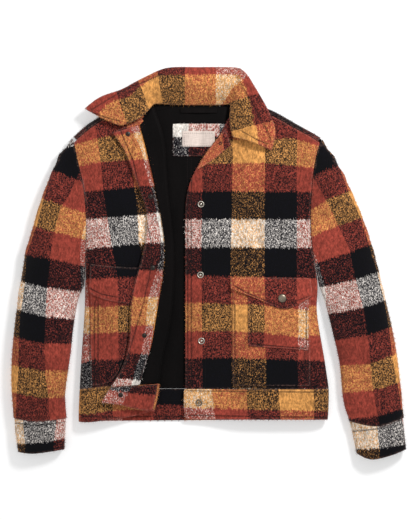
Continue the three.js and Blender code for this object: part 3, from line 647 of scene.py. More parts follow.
class Graph:
    """Adds nodes to one node tree, with short calls."""

    def __init__(self, tree: bpy.types.NodeTree) -> None:
        """Keeps the tree that nodes are added to."""
        self.tree = tree

    def feed(self, node: bpy.types.Node, inputs: dict) -> None:
        """Sets or links a node's inputs.

        Args:
            node: The node.
            inputs: Values or sockets for its inputs, by name or place.
        """
        for key, value in inputs.items():
            if isinstance(value, bpy.types.NodeSocket):
                self.tree.links.new(value, node.inputs[key])
            else:
                node.inputs[key].default_value = value

    def add(self, kind: str, inputs: dict | None = None, **settings: object) -> bpy.types.Node:
        """Adds a node.

        Args:
            kind: The node's type name.
            inputs: Values or sockets for its inputs, by name or place.
            settings: The node's own properties.

        Returns:
            The node.
        """
        node = self.tree.nodes.new(kind)
        for name, value in settings.items():
            setattr(node, name, value)
        self.feed(node, inputs or {})
        return node

    def group(self, tree: bpy.types.NodeTree, inputs: dict) -> bpy.types.bpy_prop_collection:
        """Adds a shared group.

        Args:
            tree: The group.
            inputs: Values or sockets for its inputs, by name.

        Returns:
            Its outputs.
        """
        return self.add("ShaderNodeGroup", inputs, node_tree=tree).outputs

    def maths(self, operation: str, *values: object) -> bpy.types.NodeSocket:
        """Adds a maths node.

        Args:
            operation: Its operation.
            values: Its inputs in order, numbers or sockets.

        Returns:
            Its result.
        """
        inputs = dict(enumerate(values))
        return self.add("ShaderNodeMath", inputs, operation=operation).outputs[0]

    def noise(
        self, place: object, scale: float, detail: float = 2.0, rough: float = 0.5
    ) -> bpy.types.NodeSocket:
        """Adds a noise texture.

        Args:
            place: Socket with the place, in metres.
            scale: Blotches to a metre.
            detail: Octaves.
            rough: Weight of the finer octaves.

        Returns:
            Its value, about 0.5 on average.
        """
        inputs = {"Vector": place, "Scale": scale, "Detail": detail, "Roughness": rough}
        return self.add("ShaderNodeTexNoise", inputs).outputs[0]

    def stretched(self, place: object, x: float, y: float, z: float) -> bpy.types.NodeSocket:
        """Scales a place along its three axes."""
        made = self.add("ShaderNodeVectorMath", {0: place, 1: (x, y, z)}, operation="MULTIPLY")
        return made.outputs[0]

    def mix(self, share: object, a: object, b: object, blend: str = "MIX") -> bpy.types.NodeSocket:
        """Mixes two colours.

        Args:
            share: How much of the second colour shows.
            a: First colour, a socket or four numbers.
            b: Second colour.
            blend: How they mix.

        Returns:
            The mixed colour.
        """
        made = self.add("ShaderNodeMix", {0: share, 6: a, 7: b}, data_type="RGBA", blend_type=blend)
        return made.outputs[2]

    def shaded(self, colour: object, light: object) -> bpy.types.NodeSocket:
        """Makes a colour lighter or darker.

        Args:
            colour: The colour's socket.
            light: Socket with what it is multiplied by.

        Returns:
            The colour.
        """
        grey = self.add("ShaderNodeCombineColor", {0: light, 1: light, 2: light})
        return self.mix(1.0, colour, grey.outputs[0], "MULTIPLY")

    def smooth(
        self, value: object, low: float, high: float, start: float = 0.0, end: float = 1.0
    ) -> bpy.types.NodeSocket:
        """Maps a value from one range to another, softly at both ends.

        Args:
            value: Value to map.
            low: Value that gives the start.
            high: Value that gives the end.
            start: Result at the low value.
            end: Result at the high value.

        Returns:
            The mapped value.
        """
        inputs = {0: value, 1: low, 2: high, 3: start, 4: end}
        made = self.add("ShaderNodeMapRange", inputs, interpolation_type="SMOOTHSTEP")
        return made.outputs[0]

    def bump(self, strength: float, depth: float, height: object) -> bpy.types.NodeSocket:
        """Adds a bump.

        Args:
            strength: Its strength.
            depth: Its depth, in metres.
            height: Socket with the height.

        Returns:
            The normal.
        """
        inputs = {"Strength": strength, "Distance": depth, "Height": height}
        return self.add("ShaderNodeBump", inputs).outputs[0]


def screen(colour: Colour) -> tuple[float, float, float, float]:
    """Scales a screen colour of 0 to 255 to shares, still as it is on the screen."""
    return (*[part / 255 for part in colour], 1.0)


def linear(colour: Colour) -> tuple[float, float, float, float]:
    """Turns a screen colour of 0 to 255 into the shader's linear colour."""
    parts = [c / 255 for c in colour]
    return (*[p / 12.92 if p <= 0.04045 else ((p + 0.055) / 1.055) ** 2.4 for p in parts], 1.0)


SOCKETS = {
    "Color": "NodeSocketColor", "Numbers": "NodeSocketVector", "Place": "NodeSocketVector",
    "Seam": "NodeSocketVector", "Height": "NodeSocketFloat", "Apart": "NodeSocketFloat",
    "Fine": "NodeSocketFloat", "Roughness": "NodeSocketFloat",
}


def new_group(
    name: str, inputs: tuple[str, ...], outputs: tuple[str, ...]
) -> tuple[Graph, dict[str, bpy.types.NodeSocket], bpy.types.Node]:
    """Makes a node group with its sockets.

    Args:
        name: The group's name.
        inputs: Names of its input sockets.
        outputs: Names of its output sockets.

    Returns:
        The group's graph, what it is given by socket name, and the node that takes its results.
    """
    tree = bpy.data.node_groups.new(name, "ShaderNodeTree")
    for names, way in ((inputs, "INPUT"), (outputs, "OUTPUT")):
        for socket in names:
            tree.interface.new_socket(name=socket, in_out=way, socket_type=SOCKETS[socket])
    graph = Graph(tree)
    given = {socket.name: socket for socket in graph.add("NodeGroupInput").outputs if socket.name}
    return graph, given, graph.add("NodeGroupOutput")


YARN_COLOURS: dict[Yarn, Colour] = {
    Yarn.WHITE: (234, 226, 217),
    Yarn.RUST: (147, 64, 53),
    Yarn.BLACK: (9, 9, 16),
    Yarn.GOLD: (214, 150, 84),
}


@dataclass(frozen=True)
class WoolGroup:
    """The brushed check, as one node group that every wool material uses.

    Args:
        column_ragged: How unevenly the columns' lines run, in bands.
        row_ragged: The same for the rows' lines, whose nap is brushed down over them.
        sway: How fine the columns' unevenness is, to a metre.
        fray: How fine the rows' unevenness is, to a metre.
        knots: How fine the mixed yarns' speckle is, to a metre.
        hairs: How fine the brushed hairs are, to a metre.
        tufts: How fine the tufts are, to a metre.
        patches: How fine the light and dark patches are, to a metre.
        lint: How fine the lint is, to a metre.
        softness: How softly the two yarns of a field blend.
        weft_bias: How much more of the weft shows than of the warp.
        light_yarn_bias: How much more of the lighter yarn shows.
    """

    column_ragged: float = 0.035
    row_ragged: float = 0.17
    sway: float = 260.0
    fray: float = 520.0
    knots: float = 540.0
    hairs: float = 900.0
    tufts: float = 230.0
    patches: float = 14.0
    lint: float = 1500.0
    softness: float = 0.145
    weft_bias: float = 0.04
    light_yarn_bias: float = -0.06

    @staticmethod
    def bands(graph: Graph, number: object, order: tuple[Yarn, ...]) -> bpy.types.NodeSocket:
        """Gives the yarn's colour at a number of the check, as it is on the screen.

        Args:
            graph: The group's graph.
            number: The number, a whole one at each line.
            order: The yarns in the order of their numbers.

        Returns:
            The colour.
        """
        turn = graph.maths("FRACT", graph.maths("DIVIDE", number, float(len(order))))
        ramp = graph.add("ShaderNodeValToRGB", {0: turn})
        ramp.color_ramp.interpolation = "CONSTANT"
        stops = ramp.color_ramp.elements
        stops[1].position = 1 / len(order)
        for k in range(2, len(order)):
            stops.new(k / len(order))
        for stop, yarn in zip(stops, order):
            stop.color = screen(YARN_COLOURS[yarn])
        return ramp.outputs[0]

    def make(self) -> bpy.types.NodeTree:
        """Makes the group.

        Returns:
            The group.
        """
        graph, given, result = new_group("wool check", ("Numbers", "Place"), ("Color", "Height"))
        place = given["Place"]
        numbers = graph.add("ShaderNodeSeparateXYZ", {0: given["Numbers"]})
        downward = graph.stretched(place, 1.0, 0.22, 1.0)
        sway = graph.maths("SUBTRACT", graph.noise(downward, self.sway, 2.0), 0.5)
        column = graph.maths("MULTIPLY_ADD", sway, self.column_ragged * 2, numbers.outputs[0])
        fray = graph.maths("SUBTRACT", graph.noise(downward, self.fray, 3.0, 0.6), 0.5)
        row = graph.maths("MULTIPLY_ADD", fray, self.row_ragged * 2, numbers.outputs[1])
        warp = self.bands(graph, column, WARP)
        weft = self.bands(graph, row, WEFT)
        knots = graph.noise(graph.stretched(place, 1.0, 0.66, 1.0), self.knots, 3.0, 0.62)
        light_warp, light_weft = (
            graph.add("ShaderNodeRGBToBW", {0: yarn}).outputs[0] for yarn in (warp, weft)
        )
        lighter = graph.maths("SUBTRACT", light_weft, light_warp)
        tipped = graph.maths("MULTIPLY_ADD", lighter, self.light_yarn_bias,
                             graph.maths("ADD", knots, self.weft_bias))
        share = graph.smooth(tipped, 0.5 - self.softness, 0.5 + self.softness)
        woven = graph.mix(share, warp, weft)
        brushed = graph.noise(downward, self.hairs, 2.0, 0.6)
        bright = graph.smooth(brushed, 0.25, 0.75, 0.80, 1.10)
        patches = graph.smooth(graph.noise(place, self.patches, 3.0), 0.3, 0.7, 0.92, 1.06)
        clumps = graph.noise(graph.stretched(place, 1.0, 0.5, 1.0), self.tufts, 4.0, 0.7)
        tufts = graph.smooth(clumps, 0.28, 0.72, 0.76, 1.14)
        light = graph.maths("MULTIPLY", graph.maths("MULTIPLY", bright, patches), tufts)
        color = graph.shaded(woven, light)
        lint = graph.smooth(graph.noise(downward, self.lint, 2.0, 0.7), 0.60, 0.80, 0.0, 0.16)
        color = graph.mix(lint, color, screen((150, 136, 126)))
        color = graph.add("ShaderNodeGamma", {0: color, 1: 2.2}).outputs[0]
        height = graph.maths("ADD", graph.maths("MULTIPLY", brushed, 0.7),
                             graph.maths("MULTIPLY", knots, 0.5))
        graph.feed(result, {"Color": color, "Height": height})
        return graph.tree


@dataclass(frozen=True)
class SeamGroup:
    """Sewn lines with painted shade in their grooves, and rims with a painted highlight and a
    little worn nap, over a cloth's colour and height, as one node group.

    Args:
        groove: Half the width of a sewn line's groove, in millimetres.
        rim: Half the width of a rim's painted highlight and worn nap, in millimetres.
    """

    groove: float = 1.3
    rim: float = 2.2

    def make(self) -> bpy.types.NodeTree:
        """Makes the group.

        Returns:
            The group.
        """
        graph, given, result = new_group(
            "sewn lines", ("Color", "Height", "Seam", "Place", "Apart"), ("Color", "Height")
        )
        seam = graph.add("ShaderNodeSeparateXYZ", {0: given["Seam"]})
        half = graph.maths("MULTIPLY", given["Apart"], 0.5)
        away = graph.maths("ABSOLUTE", seam.outputs[0])
        off = graph.maths("ABSOLUTE", graph.maths("SUBTRACT", away, half))
        deep = graph.smooth(off, 0.0, self.groove * 2, 1.0, 0.0)
        pucker = graph.smooth(graph.noise(given["Place"], 170.0, 1.0), 0.3, 0.7, 0.55, 1.0)
        dark = graph.maths("MULTIPLY", deep, pucker)
        # Painted highlight where the rims catch the light, with a little worn nap: a light pink
        # mixed in near each rim, mottled by noise.
        edge = graph.smooth(seam.outputs[1], 0.0, self.rim * 2, 1.0, 0.0)
        rim_highlight_and_wear = graph.smooth(graph.noise(given["Place"], 300.0), 0.35, 0.65, 0.0, 0.16)
        worn = graph.maths("MULTIPLY", edge, rim_highlight_and_wear)
        # Painted shade in the sewn grooves: a near-black mixed in along them.
        shadow = graph.maths("MULTIPLY", dark, 0.62)
        color = graph.mix(shadow, given["Color"], linear((20, 15, 16)))
        color = graph.mix(worn, color, linear((196, 150, 138)))
        height = graph.maths("SUBTRACT", given["Height"], graph.maths("MULTIPLY", dark, 2.6))
        graph.feed(result, {"Color": color, "Height": height})
        return graph.tree


def cloth_group() -> bpy.types.NodeTree:
    """Makes the node group of a plain woven cloth, such as lining or tape.

    Returns:
        The group.
    """
    graph, given, result = new_group("plain weave", ("Color", "Place", "Fine"), ("Color", "Height"))
    warp = graph.noise(graph.stretched(given["Place"], 1.0, 0.08, 1.0), 900.0, 1.0)
    weft = graph.noise(graph.stretched(given["Place"], 0.08, 1.0, 1.0), 900.0, 1.0)
    weave = graph.maths("ADD", warp, weft)
    blotch = graph.noise(graph.stretched(given["Place"], 1.0, 0.3, 1.0), 40.0, 3.0)
    light = graph.maths("MULTIPLY", graph.smooth(weave, 0.7, 1.3, 0.8, 1.25),
                        graph.smooth(blotch, 0.3, 0.7, 0.75, 1.3))
    color = graph.mix(given["Fine"], given["Color"], graph.shaded(given["Color"], light))
    graph.feed(result, {"Color": color, "Height": weave})
    return graph.tree


def metal_group() -> bpy.types.NodeTree:
    """Makes the node group of worn metal, with fine scratches and dull spots.

    Returns:
        The group.
    """
    graph, given, result = new_group(
        "worn metal", ("Color", "Place"), ("Color", "Roughness", "Height")
    )
    spots = graph.noise(given["Place"], 650.0, 3.0, 0.6)
    scratches = graph.noise(graph.stretched(given["Place"], 1.0, 0.1, 1.0), 2600.0, 1.0)
    dull = graph.smooth(spots, 0.42, 0.7)
    color = graph.mix(graph.maths("MULTIPLY", dull, 0.6), given["Color"], linear((62, 54, 48)))
    rough = graph.maths("ADD", graph.smooth(spots, 0.3, 0.7, 0.24, 0.5),
                        graph.maths("MULTIPLY", scratches, 0.08))
    height = graph.maths("ADD", spots, scratches)
    graph.feed(result, {"Color": color, "Roughness": rough, "Height": height})
    return graph.tree


class Finishes:
    """The node groups that the materials share, and the materials made so far."""

    def __init__(self) -> None:
        """Makes the shared groups."""
        self.wool = WoolGroup().make()
        self.seams = SeamGroup().make()
        self.cloth = cloth_group()
        self.metal = metal_group()
        self.made: dict[str, bpy.types.Material] = {}


class Finish:
    """A finish, whose material is made once."""

    name: str

    def inputs(self, graph: Graph, place: object, finishes: Finishes) -> dict[str, object]:
        """Gives the surface shader's inputs, which each finish has its own of."""
        raise NotImplementedError

    def make(self, finishes: Finishes) -> bpy.types.Material:
        """Makes the material, or gives it if it is made.

        Args:
            finishes: The materials made so far, and the shared groups.

        Returns:
            The material.
        """
        if self.name not in finishes.made:
            material = bpy.data.materials.new(self.name)
            material.use_nodes = True
            graph = Graph(material.node_tree)
            place = graph.add("ShaderNodeTexCoord").outputs["Object"]
            shader = material.node_tree.nodes["Principled BSDF"]
            graph.feed(shader, self.inputs(graph, place, finishes))
            finishes.made[self.name] = material
        return finishes.made[self.name]


@dataclass(frozen=True)
class Wool(Finish):
    """The wool finish.

    Args:
        apart: Millimetres between two rows of stitching, or 0 for one row.
        sheen: Strength of the nap's sheen.
    """

    apart: float = 0.0
    sheen: float = 0.08

    @property
    def name(self) -> str:
        """The material's name."""
        return f"wool_stitched_{round(self.apart * 10):03d}"

    def inputs(self, graph: Graph, place: object, finishes: Finishes) -> dict[str, object]:
        """Gives the surface shader's inputs.

        Args:
            graph: The material's graph.
            place: Socket with the place, in metres.
            finishes: The shared groups.

        Returns:
            Values and sockets, by name.
        """
        numbers = graph.add("ShaderNodeUVMap", uv_map="check").outputs[0]
        seam = graph.add("ShaderNodeUVMap", uv_map="seam").outputs[0]
        wool = graph.group(finishes.wool, {"Numbers": numbers, "Place": place})
        sewn = graph.group(finishes.seams, {
            "Color": wool["Color"], "Height": wool["Height"], "Seam": seam, "Place": place,
            "Apart": self.apart,
        })
        return {
            "Roughness": 0.95, "Specular IOR Level": 0.12, "Sheen Weight": self.sheen,
            "Sheen Roughness": 0.55, "Sheen Tint": (1.0, 0.95, 0.9, 1.0),
            "Base Color": sewn["Color"], "Normal": graph.bump(0.55, 0.0011, sewn["Height"]),
        }


@dataclass(frozen=True)
class PlainCloth(Finish):
    """A plain cloth's finish.

    Args:
        name: The material's name.
        colour: Its colour on the screen.
        roughness: Its roughness.
        sheen: Strength of its sheen.
        fine: How strongly its weave shows in its colour.
    """

    name: str
    colour: Colour
    roughness: float = 0.7
    sheen: float = 0.15
    fine: float = 0.8

    def inputs(self, graph: Graph, place: object, finishes: Finishes) -> dict[str, object]:
        """Gives the surface shader's inputs.

        Args:
            graph: The material's graph.
            place: Socket with the place, in metres.
            finishes: The shared groups.

        Returns:
            Values and sockets, by name.
        """
        cloth = graph.group(finishes.cloth, {
            "Place": place, "Color": linear(self.colour), "Fine": self.fine,
        })
        return {
            "Roughness": self.roughness, "Specular IOR Level": 0.06, "Sheen Weight": self.sheen,
            "Base Color": cloth["Color"], "Normal": graph.bump(0.35, 0.0004, cloth["Height"]),
        }


@dataclass(frozen=True)
class Metal(Finish):
    """A metal finish.

    Args:
        name: The material's name.
        colour: Its colour on the screen.
    """

    name: str
    colour: Colour

    def inputs(self, graph: Graph, place: object, finishes: Finishes) -> dict[str, object]:
        """Gives the surface shader's inputs.

        Args:
            graph: The material's graph.
            place: Socket with the place, in metres.
            finishes: The shared groups.

        Returns:
            Values and sockets, by name.
        """
        worn = graph.group(finishes.metal, {"Place": place, "Color": linear(self.colour)})
        return {
            "Metallic": 1.0, "Base Color": worn["Color"], "Roughness": worn["Roughness"],
            "Normal": graph.bump(0.2, 0.0002, worn["Height"]),
        }


@dataclass(frozen=True)
class Fibre(Finish):
    """The finish of one yarn's loose fibres.

    Args:
        yarn: The yarn.
    """

    yarn: Yarn

    @property
    def name(self) -> str:
        """The material's name."""
        return f"fibre_{self.yarn.value}"

    def inputs(self, graph: Graph, place: object, finishes: Finishes) -> dict[str, object]:
        """Gives the surface shader's inputs, all plain values."""
        return {"Base Color": linear(YARN_COLOURS[self.yarn]), "Roughness": 0.9,
                "Specular IOR Level": 0.1, "Sheen Weight": 0.1}


WOOL = Wool()
LINING = PlainCloth("black_lining", (8, 6, 6), 0.7, 0.01)
TAPE = PlainCloth("black_tape", (14, 11, 11), 0.8, 0.01)
LABEL = PlainCloth("pale_label", (202, 187, 178), 0.75, 0.05, 0.5)
THREAD = PlainCloth("dark_thread", (38, 30, 30), 0.8, 0.05, 0.4)
NICKEL = Metal("aged_nickel", (206, 200, 188))
DULL_NICKEL = Metal("dull_nickel", (138, 126, 110))
GUNMETAL = Metal("dark_snap_metal", (58, 54, 52))


def placed(name: str, data: bpy.types.ID) -> bpy.types.Object:
    """Puts an object in the scene.

    Args:
        name: Its name.
        data: Its mesh, light or camera.

    Returns:
        The object.
    """
    made = bpy.data.objects.new(name, data)
    bpy.context.scene.collection.objects.link(made)
    return made


def piece_of(mesh: bpy.types.Mesh, name: str, node: str = "") -> bpy.types.Object:
    """Puts a piece in the scene, which rides on the part.

    Args:
        mesh: Its mesh.
        name: Its name.
        node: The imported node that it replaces, if any.

    Returns:
        The piece.
    """
    piece = placed(name, mesh)
    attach(piece, "root")
    if node:
        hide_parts(node)
    return piece


def read(
    items: bpy.types.bpy_prop_collection, name: str, width: int = 1, kind: type = float
) -> np.ndarray:
    """Reads a property of each of a mesh's items.

    Args:
        items: The mesh's vertices, loops or polygons.
        name: The property.
        width: How many numbers it holds.
        kind: Kind of its numbers.

    Returns:
        The numbers, with a row for each item if it holds several.
    """
    values = np.empty(len(items) * width, kind)
    items.foreach_get(name, values)
    return values.reshape(-1, width) if width > 1 else values


def baked(built: bmesh.types.BMesh, name: str, material: bpy.types.Material) -> bpy.types.Mesh:
    """Turns a built mesh into a smooth one of one material.

    Args:
        built: What was built, which is freed.
        name: The mesh's name.
        material: Its material.

    Returns:
        The mesh.
    """
    mesh = bpy.data.meshes.new(name)
    built.to_mesh(mesh)
    built.free()
    mesh.materials.append(material)
    mesh.shade_smooth()
    return mesh


class Weave:
    """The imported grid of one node, as a fine mesh with soft rims.

    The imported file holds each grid's quads as triangles. Their diagonals are found again from
    the grid's own order, so that the subdivided cloth flows along its rows.
    """

    rim_angle = math.radians(48)
    rim_crease = 0.55
    weld = 1e-6

    def __init__(self, node: str) -> None:
        """Takes a copy of the node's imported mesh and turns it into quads.

        Args:
            node: The node's name.
        """
        self.node = node
        self.mesh = bmesh.new()
        self.mesh.from_mesh(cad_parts[node].data)
        bmesh.ops.remove_doubles(self.mesh, verts=self.mesh.verts, dist=self.weld)
        self.mesh.normal_update()
        self.join()

    @staticmethod
    def squareness(edge: bmesh.types.BMEdge) -> float:
        """Gives how far the two triangles at an edge are from one flat rectangle.

        Args:
            edge: The edge.

        Returns:
            0 for an exact rectangle, and more the worse it is.
        """
        if len(edge.link_faces) != 2:
            return math.inf
        first, second = edge.link_faces
        a, b = (v.co for v in edge.verts)
        c = next(v.co for v in first.verts if v not in edge.verts)
        d = next(v.co for v in second.verts if v not in edge.verts)
        sides = [(c - a), (b - c), (d - b), (a - d)]
        shortest, fold_weight = 1e-9, 4
        lengths = [max(side.length, shortest) for side in sides]
        corners = [
            abs(sides[k].dot(sides[(k + 1) % 4])) / (lengths[k] * lengths[(k + 1) % 4])
            for k in range(4)
        ]
        return sum(corners) + fold_weight * (1 - first.normal.dot(second.normal))

    def marked(self) -> list[bmesh.types.BMEdge]:
        """Finds every quad's diagonal.

        Returns:
            The diagonals, in the mesh's own order.
        """
        known: dict[bmesh.types.BMEdge, bool] = {}
        queue: list[bmesh.types.BMEdge] = []

        def mark(edge: bmesh.types.BMEdge, diagonal: bool) -> None:
            """Settles an edge, unless it is settled.

            Args:
                edge: The edge.
                diagonal: Whether it is a diagonal.
            """
            if edge not in known:
                known[edge] = diagonal
                queue.append(edge)

        for seed in sorted(self.mesh.edges, key=self.squareness):
            if seed in known:
                continue
            mark(seed, True)
            while queue:
                edge = queue.pop()
                for face in edge.link_faces:
                    others = [e for e in face.edges if e is not edge]
                    if known[edge]:
                        for other in others:
                            mark(other, False)
                    else:
                        for one, two in (others, others[::-1]):
                            if known.get(one) is False:
                                mark(two, True)
                if known[edge]:
                    for vert in edge.verts:
                        for other in self.opposite(vert, edge):
                            mark(other, True)
        return [edge for edge in self.mesh.edges if known[edge]]

    def opposite(
        self, vert: bmesh.types.BMVert, edge: bmesh.types.BMEdge
    ) -> list[bmesh.types.BMEdge]:
        """Finds the edge straight across a vertex of six edges, away from the rims.

        Args:
            vert: The vertex.
            edge: One of its edges.

        Returns:
            The edge, or nothing at another kind of vertex.
        """
        bent = any(e.calc_face_angle(0.0) > self.rim_angle for e in vert.link_edges)
        if bent or len(vert.link_edges) != 6 or len(vert.link_faces) != 6:
            return []
        here, face = edge, edge.link_faces[0]
        for _ in range(3):
            here = next(e for e in face.edges if e is not here and vert in e.verts)
            face = next(f for f in here.link_faces if f is not face)
        return [here]

    def join(self) -> None:
        """Joins the triangles into quads and marks the rims."""
        bmesh.ops.dissolve_edges(self.mesh, edges=self.marked(), use_verts=False)
        self.mesh.normal_update()
        layer = self.mesh.edges.layers.float.new("crease_edge")
        self.rims: list[tuple[Vector, Vector]] = []
        for edge in self.mesh.edges:
            if len(edge.link_faces) == 2 and edge.calc_face_angle(0.0) > self.rim_angle:
                edge[layer] = self.rim_crease
                self.rims.append((edge.verts[0].co.copy(), edge.verts[1].co.copy()))
        threes = sum(len(f.verts) != 4 for f in self.mesh.faces)
        log.info("%s: %d faces, %d of them not quads", self.node, len(self.mesh.faces), threes)

    def fine(self, levels: int) -> bpy.types.Mesh:
        """Subdivides the quads.

        Args:
            levels: How often each quad is split.

        Returns:
            The fine mesh.
        """
        coarse = bpy.data.meshes.new(f"{self.node}_coarse")
        self.mesh.to_mesh(coarse)
        holder = placed(coarse.name, coarse)
        split = holder.modifiers.new("fine", "SUBSURF")
        split.levels = split.render_levels = levels
        depsgraph = bpy.context.evaluated_depsgraph_get()
        made = bpy.data.meshes.new_from_object(holder.evaluated_get(depsgraph))
        bpy.data.objects.remove(holder)
        bpy.data.meshes.remove(coarse)
        self.mesh.free()
        return made


@dataclass(frozen=True)
class Panel:
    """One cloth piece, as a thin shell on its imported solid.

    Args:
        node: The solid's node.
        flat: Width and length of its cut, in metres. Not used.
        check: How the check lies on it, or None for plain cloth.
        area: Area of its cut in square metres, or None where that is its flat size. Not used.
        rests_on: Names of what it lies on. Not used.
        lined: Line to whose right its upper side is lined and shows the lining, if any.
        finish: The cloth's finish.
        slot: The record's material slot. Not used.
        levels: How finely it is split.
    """

    node: str
    flat: tuple[float, float]
    check: Check | BandCheck | None = None
    area: float | None = None
    rests_on: tuple[str, ...] = ()
    lined: Line | None = None
    finish: Finish = WOOL
    slot: str = "wool"
    levels: int = 2

    def build(self, finishes: Finishes, drape: Drape) -> bpy.types.Object:
        """Builds the panel and dresses it.

        Args:
            finishes: Where its material comes from.
            drape: The folds that the layers share.

        Returns:
            The panel.
        """
        weave = Weave(self.node)
        mesh = weave.fine(self.levels)
        places = read(mesh.vertices, "co", 3)
        self.write(mesh, "check", self.check.numbers(places) if self.check else places[:, :2])
        self.write(mesh, "seam", self.seams(places, weave.rims))
        places[:, 2] += drape.lift(places)
        mesh.vertices.foreach_set("co", places.ravel())
        mesh.materials.clear()
        mesh.materials.append(self.finish.make(finishes))
        mesh.polygons.foreach_set("material_index", np.zeros(len(mesh.polygons), int))
        mesh.shade_smooth()
        mesh.update()
        if self.lined:
            mesh.materials.append(LINING.make(finishes))
            x, y = PHOTO.pixels(read(mesh.polygons, "center", 3))
            underside = -0.9
            upper = read(mesh.polygons, "normal", 3)[:, 2] > underside
            inner = (x > self.lined.follow(y, 1)) & upper
            mesh.polygons.foreach_set("material_index", inner.astype(int))
        panel = piece_of(mesh, f"{self.node}_cloth", self.node)
        log.info("%s: %d faces, cloth %.4f m2", panel.name, len(mesh.polygons),
                 sum(p.area for p in mesh.polygons) / 2)
        return panel

    @staticmethod
    def write(mesh: bpy.types.Mesh, name: str, values: np.ndarray) -> None:
        """Writes two numbers for each vertex into a UV map.

        Args:
            mesh: The mesh.
            name: The map's name.
            values: The numbers, a row for each vertex.
        """
        corners = read(mesh.loops, "vertex_index", kind=int)
        mesh.uv_layers.new(name=name).data.foreach_set("uv", values[corners].ravel())

    def seams(self, places: np.ndarray, rims: list[tuple[Vector, Vector]]) -> np.ndarray:
        """Gives each point its distance from the stitching and from the cloth's rim.

        Args:
            places: Points in metres.
            rims: The rims' edges.

        Returns:
            Two distances for each point, in millimetres.
        """
        reach, spots_per_edge = 30.0, 6
        pixels = np.stack(PHOTO.pixels(places), axis=1)
        sewn = np.full(len(places), reach)
        for stitching in STITCHES.get(self.node, ()):
            found = beside(dense(stitching.points), pixels) * MM_PER_PIXEL
            sewn = np.where(np.abs(found) < np.abs(sewn), found, sewn)
        spots = [a.lerp(b, k / spots_per_edge) for a, b in rims for k in range(spots_per_edge)]
        rim = np.full(len(places), reach)
        if spots:
            tree = tree_of(spots)
            rim = np.array([min(tree.find(p)[2] / MM, reach) for p in places])
        return np.stack([np.clip(sewn, -reach, reach), rim], axis=1)


FACING_RIM = Line(0, ((143, 118), (150, 150), (160, 190), (167, 236), (168, 262), (162, 300),
                      (155, 330), (148, 358), (141, 385)))
LEFT_OF_ALL = Line(0, ((-100, 0), (-100, 520)))
STITCHES: dict[str, tuple[Stitching, ...]] = {
    "left_front": (Stitching(((189.4, 146), (189.4, 384)), 7.0),),
    "waistband_left": (
        Stitching(((189, 390.5), (326, 391.5))), Stitching(((188, 415), (326, 416.5))),
    ),
    "waistband_right": (
        Stitching(((82, 391.5), (110, 388.5))), Stitching(((82, 415), (118, 417))),
    ),
    "waistband_back": (Stitching(((82, 416), (186, 416.5))),),
    # One soft ridge or trough of the cloth.
    "right_front": (Stitching(((90.6, 333), (90.9, 359))),),
    "flap_left": (
        Stitching(((233, 285), (246, 292.5), (265, 300.5), (279.8, 305.5), (294, 301.5),
                   (306, 297))),
    ),
    "flap_right": (
        Stitching(((88, 287), (102, 294), (117, 297))),
        Stitching(((88, 264.5), (133, 267)), 6.0),
    ),
    "hand_pocket_left": (
        Stitching(((233, 306), (233, 383)), 6.0), Stitching(((305.5, 306), (305.5, 383))),
    ),
    "patch_pocket": (
        Stitching(((250.8, 308), (250.8, 343.5), (297, 347.6), (305.6, 347.6), (305.6, 308))),
    ),
    "hand_pocket_right": (Stitching(((96.8, 302), (96.8, 384)), 7.0),),
    "collar": (
        Stitching(((93, 110.5), (124, 91.5), (162, 75.5))),
        Stitching(((93, 114), (109, 119.5), (120, 122))),
        Stitching(((237, 78), (243, 90), (256, 112), (268, 135), (270, 142)), 3.4),
        Stitching(((267, 145), (256, 140.5), (241, 132))),
    ),
    "front_facing": (
        Stitching(((119, 127), (133, 160), (142.5, 200), (151, 240), (152.5, 262), (144.5, 300),
                   (134.5, 335), (125, 366))),
    ),
    "label": (
        Stitching(((184.2, 133.4), (213, 133.4), (213, 146.1), (184.2, 146.1), (184.2, 133.4))),
    ),
    "cuff_right": (Stitching(((17, 422.3), (40, 424.4), (65, 421.4))),),
    "cuff_left": (Stitching(((353, 430.6), (376, 427.8), (402, 418.6))),),
}
FLOOR, ON_BACK = ("floor",), ("back_cloth",)
ON_LEFT, ON_RIGHT = ("left_front_cloth",), ("right_front_cloth",)
ON_WAIST, ON_LINING = ("waistband_back_cloth",), ("back_lining_cloth",)
